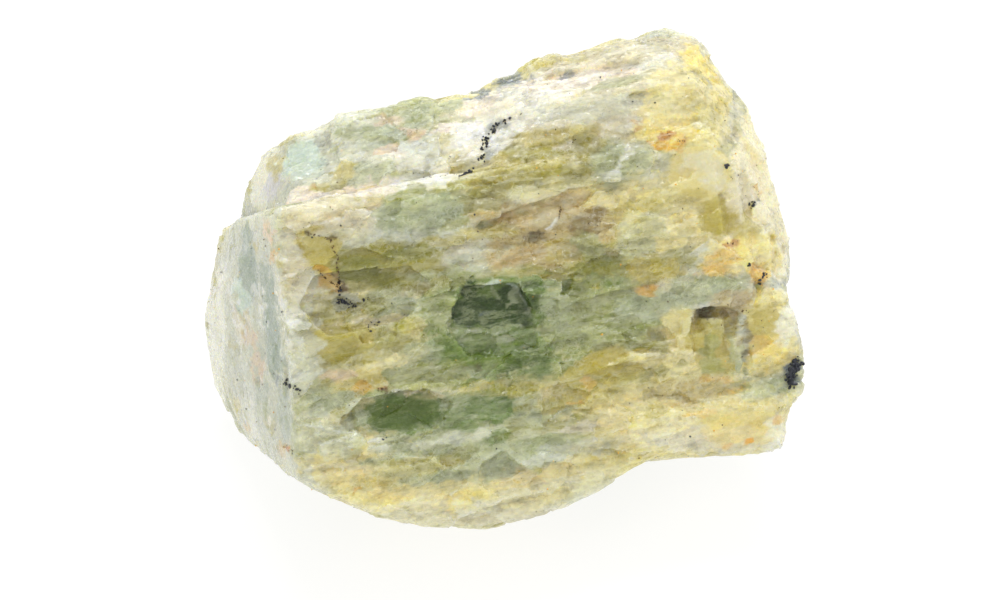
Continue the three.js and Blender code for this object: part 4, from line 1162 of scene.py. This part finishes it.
class CRYSTAL_OT_grow_stone(bpy.types.Operator):
    """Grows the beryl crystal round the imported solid, roughens it and colours it"""

    bl_idname = "crystal.grow_stone"
    bl_label = "Grow the Stone"

    def execute(self, context):
        shape = context.scene.crystal_shape
        colours = context.scene.crystal_colours
        grid = shape.grid / MM * 1.0
        mesh = through_modifier(node_mesh_mm(), "REMESH", mode="VOXEL", voxel_size=grid)
        if not mesh.vertices:
            raise RuntimeError("the stone's mesh came out empty")
        studio = context.scene.crystal_studio
        points, cleavage, polish = roughen(mesh, shape, PhotoFrame(studio, stone_tree(mesh)))
        camera = PhotoFrame(studio, stone_tree(mesh))
        paint(mesh, points, cleavage, polish, colours, camera)
        mesh = self.lightened(mesh, camera)
        co = np.clip(vertex_array(mesh, mesh.vertices, "co") * MM, *CAD_BOX)
        mesh.vertices.foreach_set("co", co.astype(np.float32).ravel())
        mesh.name = "beryl_stone"
        mesh.materials.clear()
        mesh.materials.append(beryl_material(colours))
        mesh.shade_smooth()
        mesh.set_sharp_from_angle(angle=SHARP_ANGLE)
        place_piece(context, "beryl_stone", mesh, NODE)
        return {"FINISHED"}

    def lightened(self, mesh, camera):
        """The mesh with fewer triangles, most of them taken away where the photograph doesn't look."""
        triangles = 2 * len(mesh.polygons)
        if triangles <= MOST_TRIANGLES:
            return mesh
        facing = vertex_array(mesh, mesh.vertex_normals, "vector") @ camera.back
        unseen = LEAST_THINNING + (1 - LEAST_THINNING) * (1 - smoothstep(*TURNED_AWAY, facing))
        return through_modifier(
            mesh, "DECIMATE", ratio=MOST_TRIANGLES / triangles, vertex_group="unseen", shares=unseen,
            use_collapse_triangulate=True,
        )


class CRYSTAL_OT_scatter_grains(bpy.types.Operator):
    """Scatters dark, brown and rusty grains over the stone, in the trails that the photograph shows"""

    bl_idname = "crystal.scatter_grains"
    bl_label = "Scatter the Grains"

    def execute(self, context):
        colours = context.scene.crystal_colours
        stone = bpy.data.objects["beryl_stone"].data.copy()
        co = vertex_array(stone, stone.vertices, "co") / MM
        stone.vertices.foreach_set("co", co.astype(np.float32).ravel())
        stone.update()
        camera = PhotoFrame(context.scene.crystal_studio, stone_tree(stone))
        normals = vertex_array(stone, stone.vertex_normals, "vector")
        kinds = ["ink", "umber", "ochre"]
        bm = bmesh.new()
        scatter_grains(bm, camera, co, normals, kinds, context.scene.crystal_shape.seed)
        mesh = bpy.data.meshes.new("mineral_grains")
        bm.to_mesh(mesh)
        bm.free()
        for kind in kinds:
            mesh.materials.append(grain_material(f"{kind}_grain", getattr(colours, kind)))
        self.keep_inside(mesh)
        place_piece(context, "mineral_grains", mesh)
        return {"FINISHED"}

    def keep_inside(self, mesh):
        """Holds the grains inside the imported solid's box."""
        co = vertex_array(mesh, mesh.vertices, "co")
        low, high = (np.array(corner) for corner in CAD_BOX)
        co = np.clip(co, low + GRAIN_GAP_M, high - GRAIN_GAP_M)
        mesh.vertices.foreach_set("co", co.astype(np.float32).ravel())
        mesh.update()


class CRYSTAL_PT_panel(bpy.types.Panel):
    """The crystal's steps and settings"""

    bl_label = "Beryl Crystal"
    bl_idname = "CRYSTAL_PT_panel"
    bl_space_type = "VIEW_3D"
    bl_region_type = "UI"
    bl_category = "Crystal"

    def draw(self, context):
        for operator in OPERATORS:
            self.layout.operator(operator.bl_idname)
        for name, group in SETTINGS.items():
            column = self.layout.column(align=True)
            for field in group.__annotations__:
                column.prop(getattr(context.scene, name), field)


SETTINGS = {"crystal_colours": StoneColours, "crystal_shape": StoneShape, "crystal_studio": StudioSettings}
OPERATORS = (CRYSTAL_OT_set_stage, CRYSTAL_OT_grow_stone, CRYSTAL_OT_scatter_grains)
CLASSES = (*SETTINGS.values(), *OPERATORS, CRYSTAL_PT_panel)


def register():
    for item in CLASSES:
        bpy.utils.register_class(item)
    for name, group in SETTINGS.items():
        setattr(bpy.types.Scene, name, PointerProperty(type=group))


def unregister():
    for name in SETTINGS:
        delattr(bpy.types.Scene, name)
    for item in reversed(CLASSES):
        bpy.utils.unregister_class(item)


def main():
    register()
    bpy.ops.crystal.set_stage()
    bpy.ops.crystal.grow_stone()
    bpy.ops.crystal.scatter_grains()


if __name__ == "__main__":
    main()
